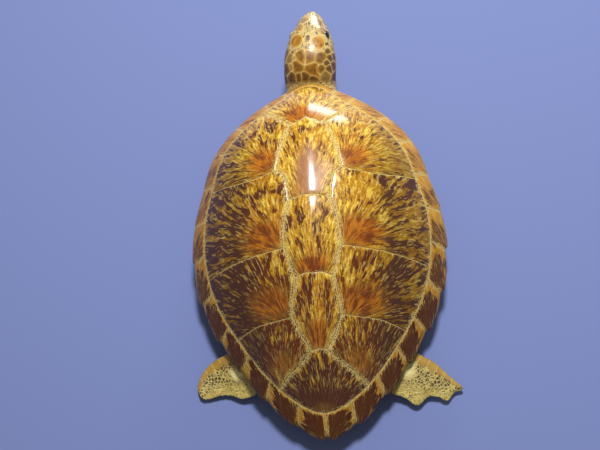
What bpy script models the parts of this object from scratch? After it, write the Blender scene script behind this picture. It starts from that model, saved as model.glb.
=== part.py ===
"""A preserved green sea turtle, dried and varnished, lying on its plastron.

Metres, +Z up, +Y towards the head, +X to the turtle's right.  The origin is on the ground, below the
middle of the whole length from snout to rear rim, and the plastron's flat underside is at z = 0.
"""

import bpy
import bmesh
from math import atan2, cos, degrees, exp, hypot, pi, radians, sin, sqrt
from mathutils import Matrix, Vector

# ---------------------------------------------------------------- driving dimensions

DOME_CENTRE_Y = -0.025       # the carapace is drawn by angle and distance from this point on the midline
CROWN_HEIGHT = 0.205
RIM_HEIGHT = 0.071           # height of the carapace edge at the flanks
RIM_TILT = 0.021             # how much higher the edge is at the nape, and lower over the tail
KEEL_HEIGHT = 0.0025
KEEL_HALF_WIDTH = 0.016
KEEL_FADE = 0.5, 0.9         # shares of the way to the edge between which the keel fades out
# How early the dome falls away from its crown: 1 is a paraboloid, less stays flat for longer.
FLANK_FALL, NAPE_FALL, TAIL_FALL = 0.88, 0.33, 1.10
FALL_BLEND = 1.3
EDGE_FALL_POWER = 5
# The seam between the marginals and the rest, as a share of the way to the edge.
MARGINAL_RING_FLANK, MARGINAL_RING_NAPE, MARGINAL_RING_TAIL = 0.885, 0.845, 0.905
NUCHAL_RISE, NUCHAL_RISE_ANGLE = 0.095, 12    # how much nearer to the edge it runs at the nape, within degrees
NEAR_EDGE = 0.97             # a scute with a point past this share of the way to the edge is a marginal
RING_POINTS = (5, 28, 42, 58, 77, 94, 108, 129)    # further points on that seam, in degrees

# Distance from the dome's centre to the carapace edge: (degrees from the nape, metres).
RIM_STATIONS = (
    (0, 0.2395), (15, 0.2245), (30, 0.2140), (50, 0.2045), (70, 0.1915), (90, 0.1950),
    (105, 0.2015), (120, 0.2125), (140, 0.2320), (150, 0.2480), (160, 0.2710), (170, 0.2975),
    (180, 0.3170),
)
# The seams between marginal scutes, in degrees from the nape: nuchal, then marginals 1 to 12.
MARGINAL_SEAMS = (10.5, 19, 35, 50, 67, 85, 102.5, 120.5, 136.7, 149.7, 161, 171.8, 180)
SCALLOP_DEPTH = 0.0055       # how far a rear marginal's corner stands out past the next one's
SCALLOP_PEAK = 0.86          # share of a marginal's length at which its corner stands out most
SCALLOP_START = 60, 125      # degrees from the nape between which the scallops grow

# Where the costal seams meet the ring seam, in degrees from the nape.
FIRST_COSTAL, SECOND_COSTAL, THIRD_COSTAL, FOURTH_COSTAL, LAST_VERTEBRAL = 22, 70, 114.6, 143.3, 165

# The vertebral scutes' seams, right half, in plan.
VERTEBRAL_SIDE = (
    (0.027, 0.1075), (0.040, 0.071), (0.049, 0.032), (0.038, 0.024), (0.034, 0.013), (0.030, -0.0165),
    (0.0355, -0.035), (0.040, -0.055), (0.0415, -0.0855), (0.037, -0.096), (0.0335, -0.110),
    (0.0275, -0.1285), (0.0325, -0.153), (0.0365, -0.1805), (0.031, -0.192), (0.025, -0.208),
    (0.0115, -0.2277), (0.031, -0.245), (0.0475, -0.2555),
)
VERTEBRAL_CROSS = (
    ((0.0, 0.118), (0.0135, 0.111), (0.027, 0.1075)),
    ((0.0, -0.011), (0.030, -0.0165)),
    ((0.0, -0.125), (0.0275, -0.1285)),
    ((0.0, -0.226), (0.0115, -0.2277)),
)
COSTAL_CROSS = (
    ((0.049, 0.032), (0.075, 0.026), (0.1025, 0.025), (0.135, 0.028)),
    ((0.0415, -0.0855), (0.070, -0.088), (0.098, -0.0905), (0.130, -0.0945)),
    ((0.0365, -0.1805), (0.060, -0.182), (0.081, -0.183), (0.105, -0.188)),
)
SEAM_BANK = 0.003            # width of the slope from a seam up to its scute
SEAM_DEPTH = 0.0018
SHELL_THICKNESS = 0.0075
RIM_THICKNESS = 0.007
LIP_WALL = 0.006             # width of the wall from the marginals' underside up into the dome
SCUTE_RINGS = 0.62, 0.50     # the outline drawn again inside each large scute, to follow the dome

# The plastron, right half, in plan: its front lobe, its bridge's outer edge by angle, its rear lobe.
PLASTRON_FRONT = (
    (0.0, 0.166), (0.030, 0.163), (0.062, 0.150), (0.090, 0.124), (0.108, 0.092), (0.118, 0.062),
)
PLASTRON_REAR = (
    (0.113, -0.142), (0.105, -0.178), (0.092, -0.216), (0.068, -0.250), (0.038, -0.270),
    (0.012, -0.273), (0.0, -0.266),
)
BRIDGE_ANGLES = (66, 74, 82, 89, 97, 105, 112, 118, 123)
BRIDGE_REACH = 0.885         # share of the way to the carapace edge that the bridges reach
BRIDGE_CURVE = 1.5           # how late the bridge turns up from the flat
INFRAMARGINAL_SEAM = ((0.118, 0.062), (0.122, 0.008), (0.125, -0.050), (0.121, -0.102), (0.113, -0.142))
INFRAMARGINAL_CROSS = ((0.122, 0.008, 82), (0.125, -0.050, 97), (0.121, -0.102, 112))
PLASTRON_CROSS = (
    ((0.0, 0.146), (0.030, 0.163)),
    ((0.0, 0.112), (0.030, 0.124), (0.062, 0.150)),
    ((0.0, 0.042), (0.060, 0.056), (0.118, 0.062)),
    ((0.0, -0.052), (0.060, -0.048), (0.125, -0.050)),
    ((0.0, -0.126), (0.060, -0.134), (0.113, -0.142)),
    ((0.0, -0.192), (0.050, -0.200), (0.092, -0.216)),
)
PLASTRON_THICKNESS = 0.009
PLASTRON_FLAT_HALF_WIDTH = 0.1255
PLASTRON_SEAM_DEPTH = 0.0009
GAP = 0.0004                 # between pieces that touch

TRUNK_SIDES = 40
TRUNK_FOOT = (0.098, 0.2025, -0.0525)    # half width, half length and middle along Y, on the plastron
TRUNK_FLANKS = 48, 66, 123, 138    # degrees between which the trunk keeps clear of the bridges
TRUNK_FLANK_SHARE = 0.74     # how near the carapace edge the trunk comes beside the bridges
TRUNK_SHOULDER = 0.012       # how far past the marginal ring it comes elsewhere, as a share
# The trunk's lower bulge: share of the way out from its foot, less at the flanks, and of its height.
TRUNK_BULGE, TRUNK_FLANK_BULGE, TRUNK_BULGE_HEIGHT = 0.62, 0.50, 0.42
TRUNK_STEP_SHARE = 0.065     # how far it steps in under the marginals before it rises into the dome
TRUNK_DOME_SHARES = {4: 0.075, 5: 0.48, 6: 0.22}
TRUNK_LIP_GAP = 0.0015       # below the marginals' underside, which is faceted
TRUNK_CLEARANCE = 0.010      # below the dome's inner surface, where nothing shows

HEAD_TURN = radians(-4.5)    # the head looks slightly to the turtle's right
HEAD_PIVOT = Vector((0.0, 0.236, 0.0))
NECK_BEND = 0.215, 0.250     # where along Y the neck takes up the head's turn
CHIN_NARROWING = 0.22
# The neck and head by sections: distance along Y, half width, height of the top and of the underside.
HEAD_SECTIONS = (
    (0.150, 0.056, 0.076, 0.013),
    (0.178, 0.051, 0.078, 0.016),
    (0.200, 0.046, 0.080, 0.021),
    (0.216, 0.041, 0.0805, 0.029),
    (0.226, 0.0420, 0.096, 0.035),
    (0.240, 0.0430, 0.109, 0.041),
    (0.258, 0.0430, 0.115, 0.046),
    (0.276, 0.0405, 0.116, 0.047),
    (0.297, 0.0355, 0.113, 0.048),
    (0.315, 0.0285, 0.108, 0.050),
    (0.331, 0.0210, 0.101, 0.055),
    (0.342, 0.0135, 0.094, 0.062),
    (0.346, 0.0060, 0.088, 0.070),
)
HEAD_SIDES = 12
EYE_RADIUS = 0.0090
# The stuffed head is rolled a little to its left, so the right eye sits higher than the left one.
EYE_PLACES = {
    "eye_right": Vector((0.0227, 0.2960, 0.0954)),
    "eye_left": Vector((-0.0258, 0.2970, 0.0900)),
}

# Flippers by sections from root to tip: leading edge, trailing edge, thickness.
FRONT_FLIPPER = (
    ((0.088, 0.118, 0.028), (0.096, 0.082, 0.056), 0.028),
    ((0.116, 0.124, 0.022), (0.118, 0.078, 0.058), 0.025),
    ((0.142, 0.108, 0.014), (0.140, 0.074, 0.055), 0.020),
    ((0.151, 0.076, 0.008), (0.166, 0.060, 0.053), 0.015),
    ((0.147, 0.040, 0.006), (0.180, 0.028, 0.055), 0.012),
    ((0.143, 0.000, 0.006), (0.1835, -0.008, 0.054), 0.010),
    ((0.145, -0.042, 0.006), (0.181, -0.045, 0.046), 0.008),
    ((0.149, -0.078, 0.006), (0.171, -0.082, 0.031), 0.0065),
    ((0.154, -0.102, 0.007), (0.161, -0.106, 0.017), 0.005),
)
HIND_FLIPPER_RIGHT = (
    ((0.088, -0.182, 0.036), (0.058, -0.216, 0.030), 0.028),
    ((0.118, -0.202, 0.031), (0.079, -0.246, 0.027), 0.022),
    ((0.147, -0.222, 0.024), (0.101, -0.280, 0.020), 0.015),
    ((0.171, -0.236, 0.018), (0.137, -0.306, 0.014), 0.011),
    ((0.189, -0.253, 0.014), (0.161, -0.296, 0.012), 0.009),
    ((0.203, -0.267, 0.012), (0.187, -0.298, 0.010), 0.0075),
    ((0.213, -0.276, 0.010), (0.209, -0.284, 0.009), 0.005),
)
HIND_FLIPPER_LEFT = (
    ((-0.088, -0.170, 0.036), (-0.060, -0.208, 0.030), 0.028),
    ((-0.122, -0.186, 0.031), (-0.083, -0.240, 0.027), 0.022),
    ((-0.152, -0.203, 0.024), (-0.106, -0.274, 0.020), 0.015),
    ((-0.173, -0.212, 0.018), (-0.132, -0.283, 0.014), 0.011),
    ((-0.190, -0.227, 0.014), (-0.160, -0.277, 0.012), 0.009),
    ((-0.202, -0.244, 0.012), (-0.181, -0.278, 0.010), 0.0075),
    ((-0.206, -0.259, 0.010), (-0.197, -0.276, 0.009), 0.006),
)
# The tail by sections: distance along Y, height, radius.
TAIL_SECTIONS = (
    (-0.250, 0.030, 0.023), (-0.285, 0.028, 0.020), (-0.310, 0.023, 0.015),
    (-0.328, 0.017, 0.010), (-0.338, 0.013, 0.006),
)

# ---------------------------------------------------------------- scene and helpers

for old in list(bpy.data.objects):
    bpy.data.objects.remove(old, do_unlink=True)

TURTLE = bpy.data.collections.new("preserved_sea_turtle")
GUIDES = bpy.data.collections.new("cutters")
bpy.context.scene.collection.children.link(TURTLE)
bpy.context.scene.collection.children.link(GUIDES)


def material(name, colour, roughness, coat=0.6):
    """A Principled material of one colour under a coat of clear varnish."""
    made = bpy.data.materials.new(name)
    made.use_nodes = True
    shader = made.node_tree.nodes["Principled BSDF"]
    shader.inputs["Base Color"].default_value = (*colour, 1.0)
    shader.inputs["Roughness"].default_value = roughness
    shader.inputs["Metallic"].default_value = 0.0
    shader.inputs["Coat Weight"].default_value = coat
    made.diffuse_color = (*colour, 1.0)
    return made


SHELL_HORN = material("varnished_horn", (0.33, 0.17, 0.05), 0.35, coat=1.0)
PLASTRON_HORN = material("plastron_horn", (0.72, 0.58, 0.30), 0.4, coat=1.0)
BODY_SKIN = material("body_skin", (0.50, 0.40, 0.22), 0.5)
HEAD_SCALES = material("head_scales", (0.45, 0.27, 0.10), 0.4)
FLIPPER_SKIN = material("flipper_skin", (0.55, 0.42, 0.20), 0.45)
EYE_GLASS = material("eye_glass", (0.02, 0.015, 0.01), 0.08, coat=1.0)


def face_outwards(bm):
    """Turn all faces of a closed shape outwards."""
    bmesh.ops.recalc_face_normals(bm, faces=bm.faces[:])
    if bm.calc_volume(signed=True) < 0:
        bmesh.ops.reverse_faces(bm, faces=bm.faces[:])


def add_object(name, bm, finish, collection=TURTLE):
    """Write a bmesh to a named object with its material."""
    mesh = bpy.data.meshes.new(name)
    bm.to_mesh(mesh)
    bm.free()
    mesh.materials.append(finish)
    made = bpy.data.objects.new(name, mesh)
    collection.objects.link(made)
    return made


def smooth_step(low, high, value):
    share = min(max((value - low) / (high - low), 0.0), 1.0)
    return share * share * (3.0 - 2.0 * share)


def polar(x, y):
    """Angle from the nape in degrees (0 to 180) and distance from the dome's centre."""
    return abs(degrees(atan2(x, y - DOME_CENTRE_Y))), hypot(x, y - DOME_CENTRE_Y)


def rim_radius(angle):
    """Distance to the carapace edge at an angle: a smooth curve through the stations."""
    stations = RIM_STATIONS
    last = len(stations) - 1
    i = max(k for k in range(last) if stations[k][0] <= angle)
    before = stations[i - 1] if i else (-stations[1][0], stations[1][1])
    after = stations[i + 2] if i + 2 <= last else (360 - stations[last - 1][0], stations[last - 1][1])
    (a0, r0), (a1, r1) = stations[i], stations[i + 1]
    slope_in = (r1 - before[1]) / (a1 - before[0]) * (a1 - a0)
    slope_out = (after[1] - r0) / (after[0] - a0) * (a1 - a0)
    t = (angle - a0) / (a1 - a0)
    return (
        (2 * t**3 - 3 * t**2 + 1) * r0 + (t**3 - 2 * t**2 + t) * slope_in
        + (3 * t**2 - 2 * t**3) * r1 + (t**3 - t**2) * slope_out
    )


def ring_share(angle, rise=NUCHAL_RISE):
    """Where the seam between the marginals and the rest runs, as a share of the way to the edge."""
    forward = cos(radians(angle))
    to_nape = (MARGINAL_RING_NAPE - MARGINAL_RING_FLANK) * max(forward, 0.0) ** 2
    to_tail = (MARGINAL_RING_TAIL - MARGINAL_RING_FLANK) * max(-forward, 0.0)
    return MARGINAL_RING_FLANK + to_nape + to_tail + rise * exp(-((angle / NUCHAL_RISE_ANGLE) ** 2))


def plan_point(angle, share):
    """A point in plan at an angle from the nape, on the right half."""
    reach = share * rim_radius(angle)
    return reach * sin(radians(angle)), DOME_CENTRE_Y + reach * cos(radians(angle))


def rim_height(angle):
    return RIM_HEIGHT + RIM_TILT * cos(radians(angle))


def dome_height(x, y):
    """Height of the carapace's outer surface above a point in plan."""
    angle, reach = polar(x, y)
    share = reach / rim_radius(angle)
    forward = cos(radians(angle))
    early = FLANK_FALL + (NAPE_FALL - FLANK_FALL) * max(forward, 0.0) ** FALL_BLEND
    early += (TAIL_FALL - FLANK_FALL) * max(-forward, 0.0) ** FALL_BLEND
    fall = early * share**2 + (1.0 - early) * share**EDGE_FALL_POWER
    keel = KEEL_HEIGHT * exp(-((x / KEEL_HALF_WIDTH) ** 2)) * (1.0 - smooth_step(*KEEL_FADE, share))
    return CROWN_HEIGHT - KEEL_HEIGHT + keel - (CROWN_HEIGHT - rim_height(angle)) * fall


def ceiling_height(x, y):
    """Height of the dome's inner surface: the wall keeps its thickness square to the slope."""
    step = 0.002
    slope_x = (dome_height(x + step, y) - dome_height(x - step, y)) / (2 * step)
    slope_y = (dome_height(x, y + step) - dome_height(x, y - step)) / (2 * step)
    return dome_height(x, y) - SHELL_THICKNESS * sqrt(1.0 + slope_x**2 + slope_y**2)


def lip_height(x, y):
    """Height of the marginals' underside."""
    return rim_height(polar(x, y)[0]) - RIM_THICKNESS


def loft(rings):
    """A closed shape through rings of points, with the faces at its two ends."""
    bm = bmesh.new()
    foot_points = [bm.verts.new(point) for point in rings[0]]
    end = bm.faces.new(foot_points)
    for ring in rings[1:]:
        end = bmesh.ops.extrude_discrete_faces(bm, faces=[end])["faces"][0]
        for v, point in zip(end.verts, ring):
            v.co = point
    foot = bm.faces.new(foot_points)
    return bm, foot, end


def enlarged_cutter(source, centre, factor):
    """A slightly larger copy of a piece, which leaves a gap round it where it cuts its neighbours."""
    cutter = source.copy()
    cutter.data = source.data.copy()
    cutter.name = source.name + "_cutter"
    grow = Matrix.Translation(centre) @ Matrix.Scale(factor, 4) @ Matrix.Translation(-centre)
    cutter.data.transform(grow)
    GUIDES.objects.link(cutter)
    cutter.hide_render = True
    cutter.display_type = "WIRE"
    return cutter


def soften(piece, levels):
    """Round a coarse cage."""
    surface = piece.modifiers.new("Rounding", "SUBSURF")
    surface.levels = levels
    surface.render_levels = levels
    piece.data.shade_smooth()


def cut_by(piece, cutter):
    """Take a neighbour's place out of a piece."""
    cut = piece.modifiers.new("Fit " + cutter.name, "BOOLEAN")
    cut.operation = "DIFFERENCE"
    cut.solver = "EXACT"
    cut.object = cutter


# ---------------------------------------------------------------- flat nets of scutes


def corner(bm, x, y):
    """The net's point nearest to a place in plan."""
    return min(bm.verts, key=lambda v: (v.co.x - x) ** 2 + (v.co.y - y) ** 2)


def cut_seam(bm, points):
    """Part the face that holds both ends of a seam along the seam's points."""
    first, last = corner(bm, *points[0]), corner(bm, *points[-1])
    face = next(f for f in first.link_faces if last in f.verts)
    bmesh.utils.face_split(face, first, last, coords=[(x, y, 0.0) for x, y in points[1:-1]])


def outline_face(bm, points):
    """One flat face inside an outline, facing up."""
    face = bm.faces.new([bm.verts.new((x, y, 0.0)) for x, y in points])
    face.normal_update()
    if face.normal.z < 0:
        face.normal_flip()


def mirror_net(bm, joined_above):
    """Mirror the right half, and join scutes that span the midline in front of a place along Y."""
    bmesh.ops.mirror(bm, geom=bm.verts[:] + bm.edges[:] + bm.faces[:], axis="X", merge_dist=0.00001)
    midline = [
        e for e in bm.edges
        if all(abs(v.co.x) < 0.00001 and v.co.y > joined_above for v in e.verts)
    ]
    bmesh.ops.dissolve_edges(bm, edges=midline)
    for face in bm.faces:
        face.normal_update()
        if face.normal.z < 0:
            face.normal_flip()


def ring_inside(bm, face, share):
    """Draw a scute's outline again inside itself, and return the face within."""
    bmesh.ops.inset_individual(bm, faces=[face], thickness=0.0)
    centre = face.calc_center_median()
    for v in face.verts:
        v.co = centre + (v.co - centre) * share


# ---------------------------------------------------------------- carapace


def scalloped_rim(angle):
    """Share of the rim radius at an angle: each rear marginal stands out towards its rear corner."""
    start = max([0.0] + [a for a in MARGINAL_SEAMS if a <= angle])
    end = min(a for a in MARGINAL_SEAMS if a >= angle) if angle < 180 else 180.0
    if start in (0.0, end):
        return 1.0
    along = (angle - start) / (end - start)
    depth = SCALLOP_DEPTH * smooth_step(*SCALLOP_START, angle) / rim_radius(angle)
    return 1.0 + depth * min(along / SCALLOP_PEAK, (1.0 - along) / (1.0 - SCALLOP_PEAK))


def carapace_net():
    """The carapace's scutes in plan, one face each."""
    rim_angles = [0.0]
    for start, end in zip((0.0,) + MARGINAL_SEAMS, MARGINAL_SEAMS):
        rim_angles += [start + (end - start) * along for along in (0.33, 0.66, SCALLOP_PEAK)] + [end]
    ring_angles = set(MARGINAL_SEAMS[:-1])
    ring_angles |= {FIRST_COSTAL, SECOND_COSTAL, THIRD_COSTAL, FOURTH_COSTAL, LAST_VERTEBRAL}
    ring_angles |= set(RING_POINTS)
    ring = [plan_point(angle, ring_share(angle)) for angle in (0.0, *sorted(ring_angles), 180.0)]
    rim = [plan_point(angle, scalloped_rim(angle)) for angle in rim_angles]
    midline = [ring[-1]] + [seam[0] for seam in reversed(VERTEBRAL_CROSS)] + [ring[0]]

    bm = bmesh.new()
    outline_face(bm, rim + midline)
    cut_seam(bm, ring)
    for angle in MARGINAL_SEAMS[:-1]:
        cut_seam(bm, (plan_point(angle, ring_share(angle)), plan_point(angle, 1.0)))
    first_corner = plan_point(FIRST_COSTAL, ring_share(FIRST_COSTAL))
    last_corner = plan_point(LAST_VERTEBRAL, ring_share(LAST_VERTEBRAL))
    cut_seam(bm, (first_corner, *VERTEBRAL_SIDE, last_corner))
    for seam in VERTEBRAL_CROSS:
        cut_seam(bm, seam)
    for seam, angle in zip(COSTAL_CROSS, (SECOND_COSTAL, THIRD_COSTAL, FOURTH_COSTAL)):
        cut_seam(bm, (*seam, plan_point(angle, ring_share(angle))))
    mirror_net(bm, joined_above=ring[-1][1] - 0.001)
    return bm


def is_marginal(face):
    """Whether a scute reaches the carapace edge."""
    places = [polar(*v.co.xy) for v in face.verts]
    return any(reach > NEAR_EDGE * rim_radius(angle) for angle, reach in places)


def build_carapace():
    """The scutes are drawn flat, given rings and an underside, and lifted to the dome."""
    bm = carapace_net()
    under = bm.faces[:]
    made = bmesh.ops.extrude_face_region(bm, geom=under, use_keep_orig=True)
    over = [g for g in made["geom"] if isinstance(g, bmesh.types.BMFace)]
    seam_points = {v for face in over for v in face.verts}
    under_lip = [face for face in under if is_marginal(face)]
    under_dome = [face for face in under if not is_marginal(face)]
    bmesh.ops.inset_region(bm, faces=under_dome, thickness=LIP_WALL, use_even_offset=True)
    lip_points = {v for face in under_lip for v in face.verts}
    ceiling_points = {v for face in under_dome for v in face.verts}

    bmesh.ops.inset_individual(bm, faces=over, thickness=SEAM_BANK, use_even_offset=True)
    for face in over:
        if not is_marginal(face):
            for share in SCUTE_RINGS:
                ring_inside(bm, face, share)
    for v in bm.verts:
        if v in lip_points:
            rim_underside = dome_height(v.co.x, v.co.y) - RIM_THICKNESS
            v.co.z = min(lip_height(v.co.x, v.co.y), rim_underside)
        elif v in ceiling_points:
            v.co.z = ceiling_height(v.co.x, v.co.y)
        else:
            v.co.z = dome_height(v.co.x, v.co.y) - (SEAM_DEPTH if v in seam_points else 0.0)
    for v in bmesh.ops.poke(bm, faces=over)["verts"]:
        v.co.z = dome_height(v.co.x, v.co.y)
    for v in bmesh.ops.poke(bm, faces=under_dome)["verts"]:
        v.co.z = ceiling_height(v.co.x, v.co.y)
    bmesh.ops.triangulate(bm, faces=bm.faces[:])
    face_outwards(bm)
    return add_object("carapace", bm, SHELL_HORN)


# ---------------------------------------------------------------- plastron


def bridge_share(x, y):
    """How far up its bridge a place lies: 0 on the flat belly, 1 at the bridge's outer edge."""
    angle, reach = polar(x, y)
    edge = abs(x) * BRIDGE_REACH * rim_radius(angle) / max(reach, 0.001)
    if abs(x) <= PLASTRON_FLAT_HALF_WIDTH:
        return 0.0
    return min((abs(x) - PLASTRON_FLAT_HALF_WIDTH) / (edge - PLASTRON_FLAT_HALF_WIDTH), 1.0)


def plastron_wall(x, y):
    """Thickness of the plastron measured upwards, which grows where the bridge is steep."""
    return PLASTRON_THICKNESS * (1.0 + 0.5 * bridge_share(x, y))


def plastron_underside(x, y):
    """Height of the plastron's outer surface: flat on the ground, rising at the bridges."""
    edge_height = lip_height(x, y) - GAP - 1.5 * PLASTRON_THICKNESS
    return edge_height * bridge_share(x, y) ** BRIDGE_CURVE


def plastron_net():
    """The plastron's scutes in plan, one face each."""
    bridge = [plan_point(angle, BRIDGE_REACH) for angle in BRIDGE_ANGLES]
    midline = [seam[0] for seam in reversed(PLASTRON_CROSS)]
    bm = bmesh.new()
    outline_face(bm, [*PLASTRON_FRONT, *bridge, *PLASTRON_REAR, *midline])
    cut_seam(bm, INFRAMARGINAL_SEAM)
    for seam in PLASTRON_CROSS:
        cut_seam(bm, seam)
    for x, y, angle in INFRAMARGINAL_CROSS:
        cut_seam(bm, ((x, y), plan_point(angle, BRIDGE_REACH)))
    mirror_net(bm, joined_above=PLASTRON_CROSS[0][0][1] - 0.001)
    return bm


def build_plastron():
    bm = plastron_net()
    under = bm.faces[:]
    made = bmesh.ops.extrude_face_region(bm, geom=under, use_keep_orig=True)
    inner = [g for g in made["geom"] if isinstance(g, bmesh.types.BMFace)]
    inner_points = {v for face in inner for v in face.verts}
    edge_points = {v for v in inner_points for e in v.link_edges if e.other_vert(v) not in inner_points}
    edge_below = {e.other_vert(v) for v in edge_points for e in v.link_edges}
    seam_points = {v for face in under for v in face.verts} - edge_below
    bmesh.ops.inset_individual(bm, faces=under, thickness=SEAM_BANK, use_even_offset=True)
    bridges = [f for f in under + inner if abs(f.calc_center_median().x) > PLASTRON_FLAT_HALF_WIDTH]
    inner_points |= {
        v for v in bmesh.ops.poke(bm, faces=bridges)["verts"]
        if any(e.other_vert(v) in inner_points for e in v.link_edges)
    }
    for v in bm.verts:
        v.co.z = plastron_underside(v.co.x, v.co.y)
        if v in inner_points:
            v.co.z += plastron_wall(v.co.x, v.co.y)
        elif v in seam_points:
            v.co.z += PLASTRON_SEAM_DEPTH
    bmesh.ops.triangulate(bm, faces=bm.faces[:])
    face_outwards(bm)
    return add_object("plastron", bm, PLASTRON_HORN)


# ---------------------------------------------------------------- trunk


def trunk_level(angle, level):
    """A point of the trunk's skin: level 0 on the plastron up to 6 under the crown."""
    flank = smooth_step(*TRUNK_FLANKS[:2], angle) * (1.0 - smooth_step(*TRUNK_FLANKS[2:], angle))
    shoulder = ring_share(angle, 0.0) + TRUNK_SHOULDER
    widest = shoulder + (TRUNK_FLANK_SHARE - shoulder) * flank
    half_width, half_length, middle = TRUNK_FOOT
    foot = half_width * sin(radians(angle)), middle + half_length * cos(radians(angle))
    rim_x, rim_y = plan_point(angle, widest)
    lip = lip_height(rim_x, rim_y) - TRUNK_LIP_GAP
    if level == 0:
        return (*foot, PLASTRON_THICKNESS + GAP)
    if level == 1:
        out = TRUNK_BULGE + (TRUNK_FLANK_BULGE - TRUNK_BULGE) * flank
        x, y = (foot[0] + (rim_x - foot[0]) * out, foot[1] + (rim_y - foot[1]) * out)
        return x, y, TRUNK_BULGE_HEIGHT * lip
    if level == 2:
        return rim_x, rim_y, lip
    if level == 3:
        return (*plan_point(angle, widest - TRUNK_STEP_SHARE), lip)
    share = TRUNK_DOME_SHARES[level]
    x, y = plan_point(angle, widest - share if level == 4 else share)
    return x, y, ceiling_height(x, y) - TRUNK_CLEARANCE


def build_trunk():
    """The stuffed body: rings from the plastron out to the marginals and up under the dome."""
    angles = [360.0 * k / TRUNK_SIDES for k in range(TRUNK_SIDES)]
    rings = []
    for level in range(7):
        ring = []
        for angle in angles:
            x, y, z = trunk_level(min(angle, 360.0 - angle), level)
            ring.append(Vector((x if angle < 180 else -x, y, z)))
        rings.append(ring)
    bm, foot, top = loft(rings)
    for v in bmesh.ops.poke(bm, faces=[top])["verts"]:
        v.co.z = ceiling_height(v.co.x, v.co.y) - TRUNK_CLEARANCE
    bmesh.ops.poke(bm, faces=[foot])
    face_outwards(bm)
    return add_object("trunk", bm, BODY_SKIN)


# ---------------------------------------------------------------- head, eyes, flippers and tail


def head_ring(section):
    """One cross-section of the neck or head, flatter above and narrower below."""
    y, half_width, top, bottom = section
    ring = []
    for k in range(HEAD_SIDES):
        turn = 2.0 * pi * (k + 0.5) / HEAD_SIDES
        across, up = cos(turn), sin(turn)
        narrow = 1.0 + CHIN_NARROWING * min(up, 0.0)
        middle, half_height = (top + bottom) / 2, (top - bottom) / 2
        point = Vector((half_width * across * narrow, y, middle + half_height * up))
        ring.append(point.lerp(turned_head(point), smooth_step(*NECK_BEND, y)))
    return ring


def turned_head(point):
    return HEAD_PIVOT + Matrix.Rotation(HEAD_TURN, 3, "Z") @ (point - HEAD_PIVOT)


def build_head(trunk_cutter):
    bm, foot, snout = loft([head_ring(section) for section in HEAD_SECTIONS])
    bmesh.ops.poke(bm, faces=[foot, snout])
    face_outwards(bm)
    head = add_object("head", bm, HEAD_SCALES)
    soften(head, 1)
    cut_by(head, trunk_cutter)
    return head


def build_eye(name, head):
    """A glass ball in a socket cut a little larger than itself."""
    place = turned_head(EYE_PLACES[name])
    for part_name, radius in ((name, EYE_RADIUS), (name + "_socket", EYE_RADIUS + GAP)):
        bm = bmesh.new()
        turn = Matrix.Translation(place) @ Matrix.Rotation(pi / 2, 4, "Y")
        bmesh.ops.create_uvsphere(bm, u_segments=12, v_segments=8, radius=radius, matrix=turn)
        if part_name == name:
            eye = add_object(name, bm, EYE_GLASS)
            eye.data.shade_smooth()
        else:
            socket = add_object(part_name, bm, EYE_GLASS, GUIDES)
            socket.hide_render = True
            socket.display_type = "WIRE"
            cut_by(head, socket)
    return eye


# A flipper's cross-section: share of the chord from its middle, share of the thickness.
FLIPPER_PROFILE = (
    (-0.54, 0.0), (-0.36, 0.55), (0.02, 0.46), (0.34, 0.30),
    (0.54, 0.0), (0.34, -0.30), (0.02, -0.46), (-0.36, -0.55),
)


def build_flipper(name, sections, side, trunk_cutter):
    """A flipper lofted through chords from its root to its tip, thicker along its leading edge."""
    chords = []
    for lead, trail, thickness in sections:
        lead, trail = (Vector((side * p[0], p[1], p[2])) for p in (lead, trail))
        chords.append((lead, trail, thickness))
    rings = []
    for k, (lead, trail, thickness) in enumerate(chords):
        before, after = chords[max(k - 1, 0)], chords[min(k + 1, len(chords) - 1)]
        span = (after[0] + after[1]) - (before[0] + before[1])
        flat = (trail - lead).cross(span).normalized()
        middle = (lead + trail) / 2
        rings.append([
            middle + (trail - lead) * along + flat * thickness * out for along, out in FLIPPER_PROFILE
        ])
    bm = loft(rings)[0]
    face_outwards(bm)
    flipper = add_object(name, bm, FLIPPER_SKIN)
    soften(flipper, 1)
    cut_by(flipper, trunk_cutter)
    return flipper


def build_tail(trunk_cutter):
    rings = []
    for y, z, radius in TAIL_SECTIONS:
        turns = [2.0 * pi * k / 8 for k in range(8)]
        rings.append([Vector((radius * cos(t), y, z + 0.8 * radius * sin(t))) for t in turns])
    bm = loft(rings)[0]
    face_outwards(bm)
    tail = add_object("tail", bm, BODY_SKIN)
    soften(tail, 1)
    cut_by(tail, trunk_cutter)
    return tail


# ---------------------------------------------------------------- the turtle

carapace = build_carapace()
plastron = build_plastron()
trunk = build_trunk()
trunk_fit = enlarged_cutter(trunk, Vector((0.0, -0.05, 0.05)), 1.005)
head = build_head(trunk_fit)
for eye_name in EYE_PLACES:
    build_eye(eye_name, head)
build_flipper("front_flipper_right", FRONT_FLIPPER, 1, trunk_fit)
build_flipper("front_flipper_left", FRONT_FLIPPER, -1, trunk_fit)
build_flipper("hind_flipper_right", HIND_FLIPPER_RIGHT, 1, trunk_fit)
build_flipper("hind_flipper_left", HIND_FLIPPER_LEFT, 1, trunk_fit)
build_tail(trunk_fit)
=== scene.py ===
from math import asin, atan2, cos, degrees, exp, hypot, pi, radians, sin, sqrt, tan

import bmesh
import bpy
import numpy as np
from mathutils import Matrix, Vector, noise


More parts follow.
